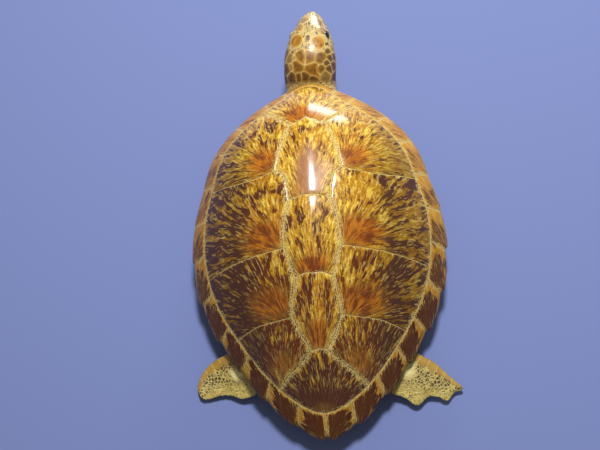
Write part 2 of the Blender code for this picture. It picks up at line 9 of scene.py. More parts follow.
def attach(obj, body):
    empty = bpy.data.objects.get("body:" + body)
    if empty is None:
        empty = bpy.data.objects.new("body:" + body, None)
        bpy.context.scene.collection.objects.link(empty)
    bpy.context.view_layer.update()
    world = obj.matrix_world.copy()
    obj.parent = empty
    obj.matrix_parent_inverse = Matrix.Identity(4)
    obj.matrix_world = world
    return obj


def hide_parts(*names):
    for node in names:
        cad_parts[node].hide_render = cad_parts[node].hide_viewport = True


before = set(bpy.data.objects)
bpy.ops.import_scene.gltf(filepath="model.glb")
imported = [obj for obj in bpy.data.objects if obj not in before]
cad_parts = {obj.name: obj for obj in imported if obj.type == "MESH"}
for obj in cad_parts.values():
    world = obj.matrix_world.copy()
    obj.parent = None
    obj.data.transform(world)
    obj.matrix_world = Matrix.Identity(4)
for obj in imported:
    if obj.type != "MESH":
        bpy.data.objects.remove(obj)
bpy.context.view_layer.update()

# ------------------------------------------------------------------ carapace
# The domed upper shell of a green turtle: thirteen large keratin scutes over bone, inside a ring of
# nuchal and marginal scutes.  Dried, polished and brushed with clear varnish.

# Lengths are in metres.  Angles run from the nape, in degrees round the dome's centre.
DOME_CENTRE_Y = -0.025
CROWN_HEIGHT = 0.205
RIM_HEIGHT = 0.071
RIM_TILT = 0.021
KEEL_HEIGHT = 0.0025
KEEL_HALF_WIDTH = 0.016
# The rim in plan: angle, and distance from the dome's centre.
RIM_STATIONS = (
    (0, 0.2395), (15, 0.2245), (30, 0.2140), (50, 0.2045), (70, 0.1915), (90, 0.1950),
    (105, 0.2015), (120, 0.2125), (140, 0.2320), (150, 0.2480), (160, 0.2710), (170, 0.2975),
    (180, 0.3170),
)
# The angles of the seams between the nuchal and the marginals, and then at the rear midline.
MARGINAL_SEAMS = (10.5, 19, 35, 50, 67, 85, 102.5, 120.5, 136.7, 149.7, 161, 171.8, 180)
SCALLOP_DEPTH = 0.0055
SCALLOP_PEAK = 0.86
# The angles at which the seams between the inner scutes meet the marginals.
INNER_CORNERS = (22, 70, 114.6, 143.3, 165)
FIRST_COSTAL, SECOND_COSTAL, THIRD_COSTAL, FOURTH_COSTAL, LAST_VERTEBRAL = INNER_CORNERS
# Degrees between the points of the rim, and of the seam inside the marginals.
RIM_STEP = 1.7
RING_STEP = 3
RIM_THICKNESS = 0.007
RIM_BULGE = 0.0012
EDGE_ROUNDING = 0.0024
WALL_DROP = 0.0026
SHELL_THICKNESS = 0.0075
LIP_WALL = 0.006
GROOVE_DEPTH = 0.0007
GROOVE_WIDTH = 0.0013
SCUTE_SWELL = 0.0007
SWELL_REACH = 0.006
# Loops of faces beside each seam, from the seam inwards.
SEAM_LOOPS = (0.0006, 0.0008, 0.0016)
# The seams wander by noise of this fineness.  It is seeded, so each run gives the same seams.
WANDER_SCALE = 70
noise.seed_set(3)


def smooth_step(low, high, value):
    """0 up to the low value, 1 from the high one, and a soft rise between."""
    share = min(max((value - low) / (high - low), 0.0), 1.0)
    return share * share * (3.0 - 2.0 * share)


def hermite(a, leaving, b, arriving, t):
    """A place between a and b on the smooth curve with these slopes at its ends."""
    return (
        a * (2 * t**3 - 3 * t**2 + 1) + leaving * (t**3 - 2 * t**2 + t)
        + b * (3 * t**2 - 2 * t**3) + arriving * (t**3 - t**2)
    )


def flow(points, spacing=0.004, wander=0.0):
    """A smooth line through a few points, with the slight wander of a grown seam between its ends."""
    path = []
    for i in range(len(points) - 1):
        a, b = Vector(points[i]), Vector(points[i + 1])
        before = Vector(points[i - 1]) if i else a * 2 - b
        after = Vector(points[i + 2]) if i + 2 < len(points) else b * 2 - a
        steps = max(1, round((b - a).length / spacing))
        for k in range(steps):
            path.append(hermite(a, (b - before) / 2, b, (after - a) / 2, k / steps))
    path.append(Vector(points[-1]))
    for k in range(1, len(path) - 1):
        fade = min(k, len(path) - 1 - k, 3) / 3
        shift = noise.noise_vector((path[k].x * WANDER_SCALE, path[k].y * WANDER_SCALE, 1.7))
        path[k] += Vector(shift[:len(path[k])]) * wander * fade
    return path


rim_line = [Vector((-15, 0.2245)), *map(Vector, RIM_STATIONS), Vector((190, 0.2975))]


def rim_radius(angle):
    """Distance from the dome's centre to the carapace edge, at an angle from the nape."""
    i = max(k for k in range(1, len(rim_line) - 2) if rim_line[k].x <= angle)
    (b0, q0), (a0, r0), (a1, r1), (b1, q1) = rim_line[i - 1:i + 3]
    leaving, arriving = (r1 - q0) / (a1 - b0) * (a1 - a0), (q1 - r0) / (b1 - a0) * (a1 - a0)
    return hermite(r0, leaving, r1, arriving, (angle - a0) / (a1 - a0))


def polar(x, y):
    """A place in plan as its angle from the nape, to either side, and its distance from the centre."""
    return abs(degrees(atan2(x, y - DOME_CENTRE_Y))), hypot(x, y - DOME_CENTRE_Y)


def ring_share(angle, rise=0.095):
    """Where the seam inside the marginals runs, as a share of the way to the edge."""
    forward = cos(radians(angle))
    return (
        0.885 - 0.040 * max(forward, 0.0) ** 2 + 0.020 * max(-forward, 0.0)
        + rise * exp(-((angle / 12) ** 2))
    )


def plan_point(angle, share):
    """The place in plan at an angle and a share of the way to the edge."""
    reach = share * rim_radius(angle)
    return reach * sin(radians(angle)), DOME_CENTRE_Y + reach * cos(radians(angle))


def rim_height(angle):
    return RIM_HEIGHT + RIM_TILT * cos(radians(angle))


def dome_height(x, y):
    """The height of the upper surface, before its grooves and swells."""
    angle, reach = polar(x, y)
    share = reach / rim_radius(angle)
    forward = cos(radians(angle))
    early = 0.88 - 0.55 * max(forward, 0.0) ** 1.3 + 0.22 * max(-forward, 0.0) ** 1.3
    fall = early * share**2 + (1.0 - early) * share**5
    keel = KEEL_HEIGHT * exp(-((x / KEEL_HALF_WIDTH) ** 2)) * (1.0 - smooth_step(0.5, 0.9, share))
    return CROWN_HEIGHT - KEEL_HEIGHT + keel - (CROWN_HEIGHT - rim_height(angle)) * fall


def ceiling_height(x, y):
    """The height of the hollow's roof, one shell's thickness inside the dome."""
    step = 0.002
    slope_x = (dome_height(x + step, y) - dome_height(x - step, y)) / (2 * step)
    slope_y = (dome_height(x, y + step) - dome_height(x, y - step)) / (2 * step)
    return dome_height(x, y) - SHELL_THICKNESS * sqrt(1.0 + slope_x**2 + slope_y**2)


def lip_height(x, y):
    """The height of the underside of the lip inside the rim."""
    return min(rim_height(polar(x, y)[0]) - RIM_THICKNESS, dome_height(x, y) - RIM_THICKNESS)


def scalloped_rim(angle):
    """Share of the rim radius: each rear marginal bellies and stands out towards its rear corner."""
    start = max([0.0] + [a for a in MARGINAL_SEAMS if a <= angle])
    end = min(a for a in MARGINAL_SEAMS if a >= angle) if angle < 180 else 180.0
    if start in (0.0, end):
        return 1.0
    along = (angle - start) / (end - start)
    depth = SCALLOP_DEPTH * smooth_step(60, 125, angle)
    out = min(along / SCALLOP_PEAK, (1.0 - along) / (1.0 - SCALLOP_PEAK))
    return 1.0 + (depth * out + 0.0011 * sin(pi * along)) / rim_radius(angle)


def edge_drop(rim):
    """How far a rounded edge falls away, at a distance from the rim."""
    rounding = max(0.0, EDGE_ROUNDING - rim)
    return EDGE_ROUNDING - sqrt(max(EDGE_ROUNDING**2 - rounding**2, 0.0))


def cut_seam(bm, points):
    """Part the face that holds both ends of a seam along the seam's points."""
    ends = [
        min(bm.verts, key=lambda v: (v.co.xy - Vector(p)).length_squared)
        for p in (points[0], points[-1])
    ]
    face = next(f for f in ends[0].link_faces if ends[1] in f.verts)
    bmesh.utils.face_split(face, *ends, coords=[(*p, 0.0) for p in points[1:-1]])


def plan_face(bm, points):
    """One flat face inside an outline, facing up."""
    face = bm.faces.new([bm.verts.new((*p, 0.0)) for p in points])
    face.normal_update()
    if face.normal.z < 0:
        face.normal_flip()


def mirror_plan(bm, joined_above):
    """Add the left half, and join the scutes that span the midline in front of a place along Y."""
    touching = 0.00001
    geom = bm.verts[:] + bm.edges[:] + bm.faces[:]
    bmesh.ops.mirror(bm, geom=geom, axis="X", merge_dist=touching)
    midline = [
        e for e in bm.edges if all(abs(v.co.x) < touching and v.co.y > joined_above for v in e.verts)
    ]
    bmesh.ops.dissolve_edges(bm, edges=midline)
    for face in bm.faces:
        face.normal_update()
        if face.normal.z < 0:
            face.normal_flip()


# Seams of the right half in plan, each run from corner to corner.
vertebral_side = (
    ((0.027, 0.1075), (0.040, 0.071), (0.049, 0.032)),
    ((0.049, 0.032), (0.038, 0.024), (0.034, 0.013), (0.030, -0.0165)),
    ((0.030, -0.0165), (0.0355, -0.035), (0.040, -0.055), (0.0415, -0.0855)),
    ((0.0415, -0.0855), (0.037, -0.096), (0.0335, -0.110), (0.0275, -0.1285)),
    ((0.0275, -0.1285), (0.0325, -0.153), (0.0365, -0.1805)),
    ((0.0365, -0.1805), (0.031, -0.192), (0.025, -0.208), (0.0115, -0.2277)),
    ((0.0115, -0.2277), (0.031, -0.245), (0.0475, -0.2555)),
)
vertebral_cross = (
    ((0.0, 0.118), (0.0135, 0.111), (0.027, 0.1075)),
    ((0.0, -0.011), (0.015, -0.0125), (0.030, -0.0165)),
    ((0.0, -0.125), (0.014, -0.124), (0.0275, -0.1285)),
    ((0.0, -0.226), (0.0115, -0.2277)),
)
costal_cross = (
    ((0.049, 0.032), (0.075, 0.026), (0.1025, 0.025), (0.135, 0.028)),
    ((0.0415, -0.0855), (0.070, -0.088), (0.098, -0.0905), (0.130, -0.0945)),
    ((0.0365, -0.1805), (0.060, -0.182), (0.081, -0.183), (0.105, -0.188)),
)

rim_angles = [0.0]
for start, end in zip((0.0,) + MARGINAL_SEAMS, MARGINAL_SEAMS):
    steps = max(4, round((end - start) / RIM_STEP))
    stops = {k / steps for k in range(1, steps + 1)} | {SCALLOP_PEAK, SCALLOP_PEAK + 0.05}
    rim_angles += [start + (end - start) * along for along in sorted(stops)]
ring_stops = sorted({*MARGINAL_SEAMS[:-1], *INNER_CORNERS, *range(RING_STEP, 180, RING_STEP)})
# Round stops that would crowd the end of a seam are left out.
uneven = [a for a in ring_stops if a % RING_STEP]
ring_stops = [a for a in ring_stops if a in uneven or min(abs(a - b) for b in uneven) > 0.8]
ring = [plan_point(angle, ring_share(angle)) for angle in (0.0, *ring_stops, 180.0)]
midline = [ring[-1]] + [seam[0] for seam in reversed(vertebral_cross)] + [ring[0]]

bm = bmesh.new()
plan_face(bm, [plan_point(angle, scalloped_rim(angle)) for angle in rim_angles] + midline)
cut_seam(bm, ring)
for angle in MARGINAL_SEAMS[:-1]:
    inner, outer = plan_point(angle, ring_share(angle)), plan_point(angle, 1.0)
    cut_seam(bm, [Vector(inner).lerp(Vector(outer), k / 5) for k in range(6)])
side = [Vector(plan_point(FIRST_COSTAL, ring_share(FIRST_COSTAL)))]
side += flow([side[0], vertebral_side[0][0]])[1:-1]
for run in vertebral_side:
    side += flow(run, wander=0.0011)[:-1]
corner = Vector(plan_point(LAST_VERTEBRAL, ring_share(LAST_VERTEBRAL)))
side += flow([vertebral_side[-1][-1], corner])
cut_seam(bm, side)
for seam in vertebral_cross:
    cut_seam(bm, flow(seam, wander=0.0008))
for seam, angle in zip(costal_cross, (SECOND_COSTAL, THIRD_COSTAL, FOURTH_COSTAL)):
    cut_seam(bm, flow((*seam, plan_point(angle, ring_share(angle))), wander=0.0010))
mirror_plan(bm, joined_above=ring[-1][1] - 0.001)

# Each kind of scute: where its growth streaks fan out from, how many lie side by side, and the middle
# and the half size of its oldest, plainest horn.
scute_kinds = {
    "V1": ((0, 0.100), 1.0, (-0.008, 0.126), (0.032, 0.017)),
    "V2": ((0, -0.050), 1.7, (0, 0.022), (0.020, 0.046)),
    "V3": ((0, -0.165), 1.9, (0, -0.114), (0.026, 0.016)),
    "V4": ((0, -0.262), 2.2, (0, -0.206), (0.015, 0.021)),
    "V5": ((0, -0.335), 2.5, (0, -0.310), (0.020, 0.012)),
    "C1": ((0.050, 0.030), 1.0, (0.068, 0.050), (0.024, 0.020)),
    "C2": ((0.046, -0.088), 1.1, (0.071, -0.065), (0.034, 0.025)),
    "C3": ((0.040, -0.190), 1.4, (0.066, -0.158), (0.034, 0.022)),
    "C4": ((0.052, -0.292), 2.3, (0.056, -0.240), (0.018, 0.016)),
}
# How much dark pigment each kind carries near its growth centre, how much more towards the flank, and
# how clearly its old horn shows.
kind_marks = {
    "V1": (0.02, 0.0, 1.0), "V2": (0.18, 0.0, 0.9), "V3": (0.38, 0.0, 1.0), "V4": (0.50, 0.0, 1.0),
    "V5": (0.88, 0.0, 0.3), "C1": (0.44, 0.14, 1.0), "C2": (0.54, 0.34, 1.0), "C3": (0.76, 0.28, 1.0),
    "C4": (0.90, 0.22, 0.6),
}
scute = bm.faces.layers.int.new("scute")
fans, kinds, cores = [], [], []
for face in bm.faces:
    middle = face.calc_center_median()
    angle, reach = polar(middle.x, middle.y)
    face[scute] = len(kinds)
    if any(len(e.link_faces) == 1 for e in face.edges):
        end = min(a for a in MARGINAL_SEAMS if a >= angle)
        x, y = plan_point(end + 0.10 * (end - angle), 1.06)
        fans.append((x if middle.x > 0 else -x, y, 1.3) if angle > 6 else (0.0, 0.24, 1.0))
        kinds.append("M" if angle > 6 else "N")
        cores.append((0, 0, 1, 1))
    else:
        turn = 1 if middle.x > -0.001 else -1
        for kind, ((x, y), count, (u, v), size) in scute_kinds.items():
            if bmesh.geometry.intersect_face_point(face, Vector((turn * u, v, 0.0))):
                fans.append((turn * x, y, count))
                kinds.append(kind)
                cores.append((turn * u, v, *size))


def edge_ends(edges):
    """Both ends of each edge in plan."""
    return np.array([[(*v.co.xy,) for v in e.verts] for e in edges])


def seams_where(test):
    """The seams whose two scutes' kinds pass a test."""
    inner = [e for e in bm.edges if len(e.link_faces) == 2]
    return edge_ends([
        e for e in inner if test(sorted(kinds[f[scute]][0].replace("N", "M") for f in e.link_faces))
    ])


rim_ends = edge_ends([e for e in bm.edges if len(e.link_faces) == 1])
seam_ends = seams_where(lambda pair: True)
# Each kind of seam: its line's width in millimetres, and its straw border's strength and width.
seam_kinds = (
    (seams_where(lambda pair: pair == ["C", "V"]), 0.9, 0.60, 0.0120),
    (seams_where(lambda pair: pair == ["V", "V"]), 0.9, 0.46, 0.0065),
    (seams_where(lambda pair: pair == ["C", "C"]), 0.7, 0.36, 0.0055),
    (seams_where(lambda pair: pair in (["C", "M"], ["M", "V"])), 0.8, 0.54, 0.0060),
    (seams_where(lambda pair: pair == ["M", "M"]), 0.8, 0.58, 0.0070),
)


def distance_to(lines, spots):
    """Distance in plan from each spot to the nearest of the lines."""
    start, along = lines[:, 0], lines[:, 1] - lines[:, 0]
    nearest = np.empty(len(spots))
    for k in range(0, len(spots), 1000):
        out = spots[k:k + 1000, None] - start
        share = np.clip((out * along).sum(2) / (along * along).sum(1), 0, 1)
        nearest[k:k + 1000] = np.linalg.norm(out - share[..., None] * along, axis=2).min(1)
    return nearest


# The plan is given an underside and a ceiling, on levels 0 and -1 until it is lifted to the dome.
under = bm.faces[:]
made = bmesh.ops.extrude_face_region(bm, geom=under, use_keep_orig=True)["geom"]
over = [g for g in made if isinstance(g, bmesh.types.BMFace)]
bmesh.ops.translate(bm, verts=[g for g in made if isinstance(g, bmesh.types.BMVert)], vec=(0, 0, 1))
ceiling = [f for f in under if kinds[f[scute]] not in "MN"]
bmesh.ops.inset_region(bm, faces=ceiling, thickness=LIP_WALL, use_even_offset=True)
bmesh.ops.translate(bm, verts=list({v for f in ceiling for v in f.verts}), vec=(0, 0, -1))
for width in SEAM_LOOPS:
    bmesh.ops.inset_individual(bm, faces=over, thickness=width, use_even_offset=False)
for level in (0.3, 0.7):
    geom = bm.verts[:] + bm.edges[:] + bm.faces[:]
    bmesh.ops.bisect_plane(bm, geom=geom, plane_co=(0, 0, level), plane_no=(0, 0, 1))

# The cuts lie a little beside round numbers, clear of the points on the midline.
CUT_SHIFT = 0.00013
CUT_TOLERANCE = 0.00002


def slice_plan(bm, spacing):
    """Cut the plan into squares, so that it can follow the dome."""
    for axis, normal in enumerate((Vector((1, 0, 0)), Vector((0, 1, 0)))):
        low, high = min(v.co[axis] for v in bm.verts), max(v.co[axis] for v in bm.verts)
        place = (low // spacing + 1) * spacing
        while place < high:
            geom = bm.verts[:] + bm.edges[:] + bm.faces[:]
            spot = normal * (place + CUT_SHIFT)
            bmesh.ops.bisect_plane(bm, geom=geom, plane_co=spot, plane_no=normal, dist=CUT_TOLERANCE)
            place += spacing


slice_plan(bm, 0.005)

spots = np.array([v.co.xy for v in bm.verts])
to_seam, to_rim = distance_to(seam_ends, spots), distance_to(rim_ends, spots)
centre = Vector((0.0, DOME_CENTRE_Y))
for v, seam, rim in zip(bm.verts, to_seam, to_rim):
    level, (x, y) = v.co.z, v.co.xy
    low, high = lip_height(x, y), dome_height(x, y)
    if level > 0.999:
        v.co.z = (
            high - GROOVE_DEPTH * exp(-((seam / GROOVE_WIDTH) ** 2))
            + SCUTE_SWELL * (1 - exp(-seam / SWELL_REACH)) - edge_drop(rim)
        )
    elif level > 0:
        v.co.z = low + (high - WALL_DROP - low) * level
        v.co.xy += (v.co.xy - centre).normalized() * RIM_BULGE
    elif level > -0.999:
        v.co.z = low + (ceiling_height(x, y) - low) * -level
    else:
        v.co.z = ceiling_height(x, y)
bmesh.ops.triangulate(bm, faces=bm.faces[:])


def face_outward(bm):
    """Turn every face of a closed piece outward."""
    bmesh.ops.recalc_face_normals(bm, faces=bm.faces[:])
    if bm.calc_volume(signed=True) < 0:
        bmesh.ops.reverse_faces(bm, faces=bm.faces[:])


face_outward(bm)


def linear(code):
    """An sRGB hex colour as the linear values that the shader takes."""
    parts = [int(code[k:k + 2], 16) / 255 for k in (1, 3, 5)]
    return (*[p / 12.92 if p <= 0.04045 else ((p + 0.055) / 1.055) ** 2.4 for p in parts], 1.0)


SMOOTH = {"interpolation_type": "SMOOTHSTEP"}
COLOUR = {"data_type": "RGBA"}


def make_piece(name, bm, material):
    """Write a bmesh to a smooth-shaded object of that name."""
    mesh = bpy.data.meshes.new(name)
    bm.to_mesh(mesh)
    bm.free()
    mesh.materials.append(material)
    mesh.shade_smooth()
    piece = bpy.data.objects.new(name, mesh)
    bpy.context.scene.collection.objects.link(piece)
    return piece


def write_layer(mesh, domain, name, *columns):
    """Store three columns of values on a mesh's points or corners, for its material to read."""
    layer = mesh.attributes.new(name, "FLOAT_VECTOR", domain)
    layer.data.foreach_set("vector", np.column_stack(columns).astype(np.float32).ravel())


def new_material(name):
    """A material with an empty node tree, and the function that adds one node to it."""
    made = bpy.data.materials.new(name)
    made.use_nodes = True
    tree = made.node_tree
    tree.nodes.clear()

    def add(kind, inputs=None, **settings):
        """Add a node: its settings, and for each input a value, a hex colour or what feeds it."""
        node = tree.nodes.new("ShaderNode" + kind)
        for name, value in settings.items():
            setattr(node, name, value)
        for name, value in (inputs or {}).items():
            if isinstance(value, bpy.types.Node):
                value = next(socket for socket in value.outputs if socket.enabled)
            if isinstance(value, bpy.types.NodeSocket):
                tree.links.new(value, node.inputs[name])
            else:
                node.inputs[name].default_value = linear(value) if isinstance(value, str) else value
        return node

    return made, add


# Tortoiseshell: translucent golden keratin with darker pigment laid down in streaks that radiate from
# each scute's oldest corner, seen through glossy varnish that rounds over the growth ridges.
horn, add = new_material("varnished_keratin")
fan = add("Attribute", attribute_name="fan").outputs["Vector"]
(areola, dark, warm), (seam_mm, band, outer), (mauve, gloss, edge) = (
    add("SeparateXYZ", {0: add("Attribute", attribute_name=name).outputs["Vector"]}).outputs
    for name in ("zones", "edges", "finish")
)
heading = add("VectorMath", {0: fan, 1: (1.0, 1.0, 0.0)}, operation="MULTIPLY")
radius = add("SeparateXYZ", {0: fan}).outputs["Z"]
plan = add("TexCoord").outputs["Object"]

# Streaks are noise drawn out along the growth direction: so many round the scute, so many per metre.
wander = add("TexNoise", {"Vector": plan, "Scale": 45.0, "Detail": 1.0}).outputs["Color"]
wander = add("VectorMath", {0: wander, 1: (0.5, 0.5, 0.5)}, operation="SUBTRACT")
heading = add("VectorMath", {0: wander, 1: (0.10, 0.10, 0.0), 2: heading}, operation="MULTIPLY_ADD")
streaks = {}
for name, around, along, detail, seed in (
    ("spots", 6.5, 40.0, 2.0, 1.0), ("rays", 17.0, 22.0, 2.0, 5.0), ("dashes", 15.0, 62.0, 2.0, 9.0),
    ("hairs", 34.0, 75.0, 1.5, 14.0),
):
    start = (seed, seed * 2.3, 0.0)
    turned = add(
        "VectorMath", {0: heading, 1: (around, around, 0.0), 2: start}, operation="MULTIPLY_ADD",
    )
    out = add("Math", {0: radius, 1: along}, operation="MULTIPLY")
    streaks[name] = add(
        "TexNoise", {"Vector": turned, "W": out, "Scale": 1.0, "Detail": detail, "Roughness": 0.55},
        noise_dimensions="4D",
    )
crumbs = add("TexNoise", {"Vector": plan, "Scale": 300.0, "Detail": 2.0})
cloud = add("TexNoise", {"Vector": plan, "Scale": 38.0, "Detail": 2.0})

# Golden ground, from deep amber to straw.
tone = add("Mix", {0: 0.30, 2: streaks["dashes"], 3: streaks["hairs"]})
tone = add("Mix", {0: 0.18, 2: tone, 3: crumbs})
tone = add("Math", {0: warm, 1: -0.02, 2: tone}, operation="MULTIPLY_ADD")
ground = "#69420a"
for low, high, colour in ((0.39, 0.47, "#b38316"), (0.49, 0.57, "#e3c44e")):
    share = add("MapRange", {0: tone, 1: low, 2: high}, **SMOOTH)
    ground = add("Mix", {0: share, 6: ground, 7: colour}, **COLOUR)
rusty = add("MapRange", {0: cloud, 1: 0.36, 2: 0.62}, **SMOOTH)
rusty = add("Math", {0: rusty, 1: warm}, operation="MULTIPLY")
rusty = add("Math", {0: rusty, 1: 0.6}, operation="MULTIPLY")
ground = add("Mix", {0: rusty, 6: ground, 7: "#96590f"}, **COLOUR)
olive = add("Math", {0: outer, 1: 0.62}, operation="MULTIPLY")
ground = add("Mix", {0: olive, 6: ground, 7: "#6e4c18"}, **COLOUR)

# Old horn at the growth centre, orange to red-brown.
smooth = add("Mix", {0: 0.55, 2: tone, 3: cloud})
amber = add("MapRange", {0: smooth, 1: 0.38, 2: 0.54}, **SMOOTH)
old_horn = add("Mix", {0: amber, 6: "#6a2d06", 7: "#b0680c"}, **COLOUR)
ember = add("Mix", {0: 0.40, 2: streaks["spots"], 3: cloud})
ember = add("MapRange", {0: ember, 1: 0.46, 2: 0.60, 4: 0.85}, **SMOOTH)
old_horn = add("Mix", {0: ember, 6: old_horn, 7: "#5f2206"}, **COLOUR)
old_horn = add("Mix", {0: mauve, 6: old_horn, 7: "#9c6a50"}, **COLOUR)

# Dark pigment in spots near the growth centre and long rays towards the flank.
pattern = add("Mix", {0: outer, 2: streaks["spots"], 3: streaks["rays"]})
pattern = add("Mix", {0: 0.30, 2: pattern, 3: streaks["dashes"]})
pattern = add("Mix", {0: 0.20, 2: pattern, 3: cloud})
excess = add("Math", {0: dark, 1: 0.17, 2: pattern}, operation="MULTIPLY_ADD")
stain = add("MapRange", {0: excess, 1: 0.590, 2: 0.635}, **SMOOTH)
kept = add("Math", {0: areola, 1: -0.70, 2: 1.0}, operation="MULTIPLY_ADD")
stain = add("Math", {0: stain, 1: kept}, operation="MULTIPLY")
pigment = add("Mix", {0: warm, 6: "#3d221c", 7: "#5e2708"}, **COLOUR)
solid = add("MapRange", {0: dark, 1: 1.00, 2: 1.45, 3: 1.0, 4: 0.2})
thin = add("MapRange", {0: streaks["hairs"], 1: 0.45, 2: 0.68, 4: 0.8}, **SMOOTH)
thin = add("Math", {0: thin, 1: solid}, operation="MULTIPLY")
pigment = add("Mix", {0: outer, 6: pigment, 7: "#4a2c20"}, **COLOUR)
pigment = add("Mix", {0: thin, 6: pigment, 7: "#5e3a10"}, **COLOUR)
rim_horn = add("Mix", {0: warm, 6: "#c08e28", 7: "#945408"}, **COLOUR)
ground = add("Mix", {0: edge, 6: ground, 7: rim_horn}, **COLOUR)
young = add("Mix", {0: areola, 6: ground, 7: old_horn}, **COLOUR)
surface = add("Mix", {0: stain, 6: young, 7: pigment}, **COLOUR)
fleck = add("MapRange", {0: streaks["hairs"], 1: 0.57, 2: 0.63, 4: 0.58}, **SMOOTH)
fleck = add("Math", {0: fleck, 1: kept}, operation="MULTIPLY")
solid = add("Math", {0: outer, 1: -0.45, 2: solid}, operation="MULTIPLY_ADD")
fleck = add("Math", {0: fleck, 1: solid}, operation="MULTIPLY")
surface = add("Mix", {0: fleck, 6: surface, 7: "#cfb266"}, **COLOUR)

# Flecked straw borders, a dark line and a pale one along each seam.
grains = add("TexNoise", {"Vector": plan, "Scale": 560.0, "Detail": 1.0})
straw = add("MapRange", {0: grains, 1: 0.40, 2: 0.58}, **SMOOTH)
straw = add("Mix", {0: straw, 6: "#94782e", 7: "#d3bd78"}, **COLOUR)
border = add("Mix", {0: 0.42, 2: streaks["hairs"], 3: grains})
border = add("Math", {0: band, 1: 0.45, 2: border}, operation="MULTIPLY_ADD")
border = add("MapRange", {0: border, 1: 0.67, 2: 0.82, 4: 0.85}, **SMOOTH)
surface = add("Mix", {0: border, 6: surface, 7: straw}, **COLOUR)
ragged = add("Math", {0: crumbs, 1: 1.2, 2: -0.6}, operation="MULTIPLY_ADD")
ragged = add("Math", {0: ragged, 1: seam_mm}, operation="ADD")
for far, near, most, colour in ((1.8, 0.9, 0.25, "#54380f"), (0.85, 0.35, 0.80, "#cdb676")):
    share = add("MapRange", {0: ragged, 1: far, 2: near, 4: most}, **SMOOTH)
    surface = add("Mix", {0: share, 6: surface, 7: colour}, **COLOUR)
ridge = add("Bump", {"Height": streaks["dashes"], "Strength": 0.12, "Distance": 0.0006})
ripple = add("TexNoise", {"Vector": plan, "Scale": 55.0, "Detail": 1.0})
brushed = add("Bump", {"Height": ripple, "Strength": 0.10, "Distance": 0.0010})
shader = add("BsdfPrincipled", {
    "Base Color": surface, "Roughness": 0.45, "IOR": 1.55, "Specular IOR Level": 0.1, "Normal": ridge,
    "Coat Weight": gloss, "Coat Roughness": 0.18, "Coat IOR": 1.42, "Coat Normal": brushed,
})
add("OutputMaterial", {"Surface": shader})

carapace = make_piece("carapace_shell", bm, horn)
mesh = carapace.data
vertex_places = np.array([v.co for v in mesh.vertices])
corner_vertex = np.empty(len(mesh.loops), int)
mesh.loops.foreach_get("vertex_index", corner_vertex)
corner_scute = np.repeat([d.value for d in mesh.attributes["scute"].data], 3)
point = vertex_places[corner_vertex]
x, y = point[:, 0], point[:, 1]
fan_place, core = np.array(fans)[corner_scute], np.array(cores)[corner_scute]
away = point[:, :2] - fan_place[:, :2]
reach = np.linalg.norm(away, axis=1)
fan = np.column_stack((away / reach[:, None] * fan_place[:, 2:], reach))
kind = np.array(kinds)[corner_scute]


def ramp(low, high, value):
    """What smooth_step gives, for whole columns of values."""
    share = np.clip((value - low) / (high - low), 0, 1)
    return share * share * (3 - 2 * share)


def corner_distance(lines):
    """Distance in plan from each face corner to the nearest of the lines."""
    return distance_to(lines, vertex_places[:, :2])[corner_vertex]


# The inner scutes: old horn at the growth centre with a darker halo, more pigment on the outer zone.
front, rear = ramp(-0.28, 0.10, y), 1 - ramp(-0.20, 0.06, y)
costal, marginal = np.char.startswith(kind, "C"), np.isin(kind, ("M", "N"))
outward = np.abs(x) - np.abs(core[:, 0])
oval = np.hypot((x - core[:, 0]) / core[:, 2], (y - core[:, 1]) / core[:, 3])
halo = ramp(0.7, 1.2, oval) * (1 - ramp(1.5, 2.2, oval)) * ~marginal
outer_mask = np.where(costal, ramp(0.005, 0.055, outward), 0.0)
inner_dark, outer_dark, clearness = np.zeros((3, len(point)))
for name, (inner, outer, clear) in kind_marks.items():
    inner_dark[kind == name], outer_dark[kind == name], clearness[kind == name] = inner, outer, clear
core_mask = (1 - ramp(0.55, 1.40, oval)) * clearness
dark_mask = inner_dark + outer_dark * outer_mask
dark_mask -= 0.28 * ramp(-0.05, 0.05, x) * ramp(-0.28, -0.14, y) * costal
dark_mask += 0.10 * halo + np.where(kind == "V5", 0.8 * ramp(-0.265, -0.300, y), 0.0)

# The marginals: a dark centre that lies towards each one's rear corner and fades at its seams.
along_rim = corner_distance(np.concatenate((seam_kinds[3][0], seam_kinds[4][0])))
to_edge = corner_distance(rim_ends)
turned = np.degrees(np.arctan2(np.abs(x), y - DOME_CENTRE_Y))
stops = np.array((0.0, *MARGINAL_SEAMS))
section = np.clip(np.searchsorted(stops, turned) - 1, 0, len(stops) - 2)
along = (turned - stops[section]) / (stops[section + 1] - stops[section])
off_seam = ramp(0.0, 0.006, along_rim)
marginal_core = ramp(0.10, 0.45, along) * off_seam * (0.4 + 0.6 * ramp(0.0, 0.004, to_edge))
marginal_dark = (0.35 + 0.80 * rear) * ramp(0.10 - 0.10 * rear, 0.60 - 0.20 * rear, along) * off_seam
marginal_dark *= 0.6 + 0.4 * ramp(0.0, 0.005, to_edge)
core_mask = np.where(marginal, (0.40 - 0.32 * rear) * marginal_core, core_mask)
dark_mask = np.where(marginal, 0.08 + 0.10 * rear + 1.15 * marginal_dark, dark_mask)

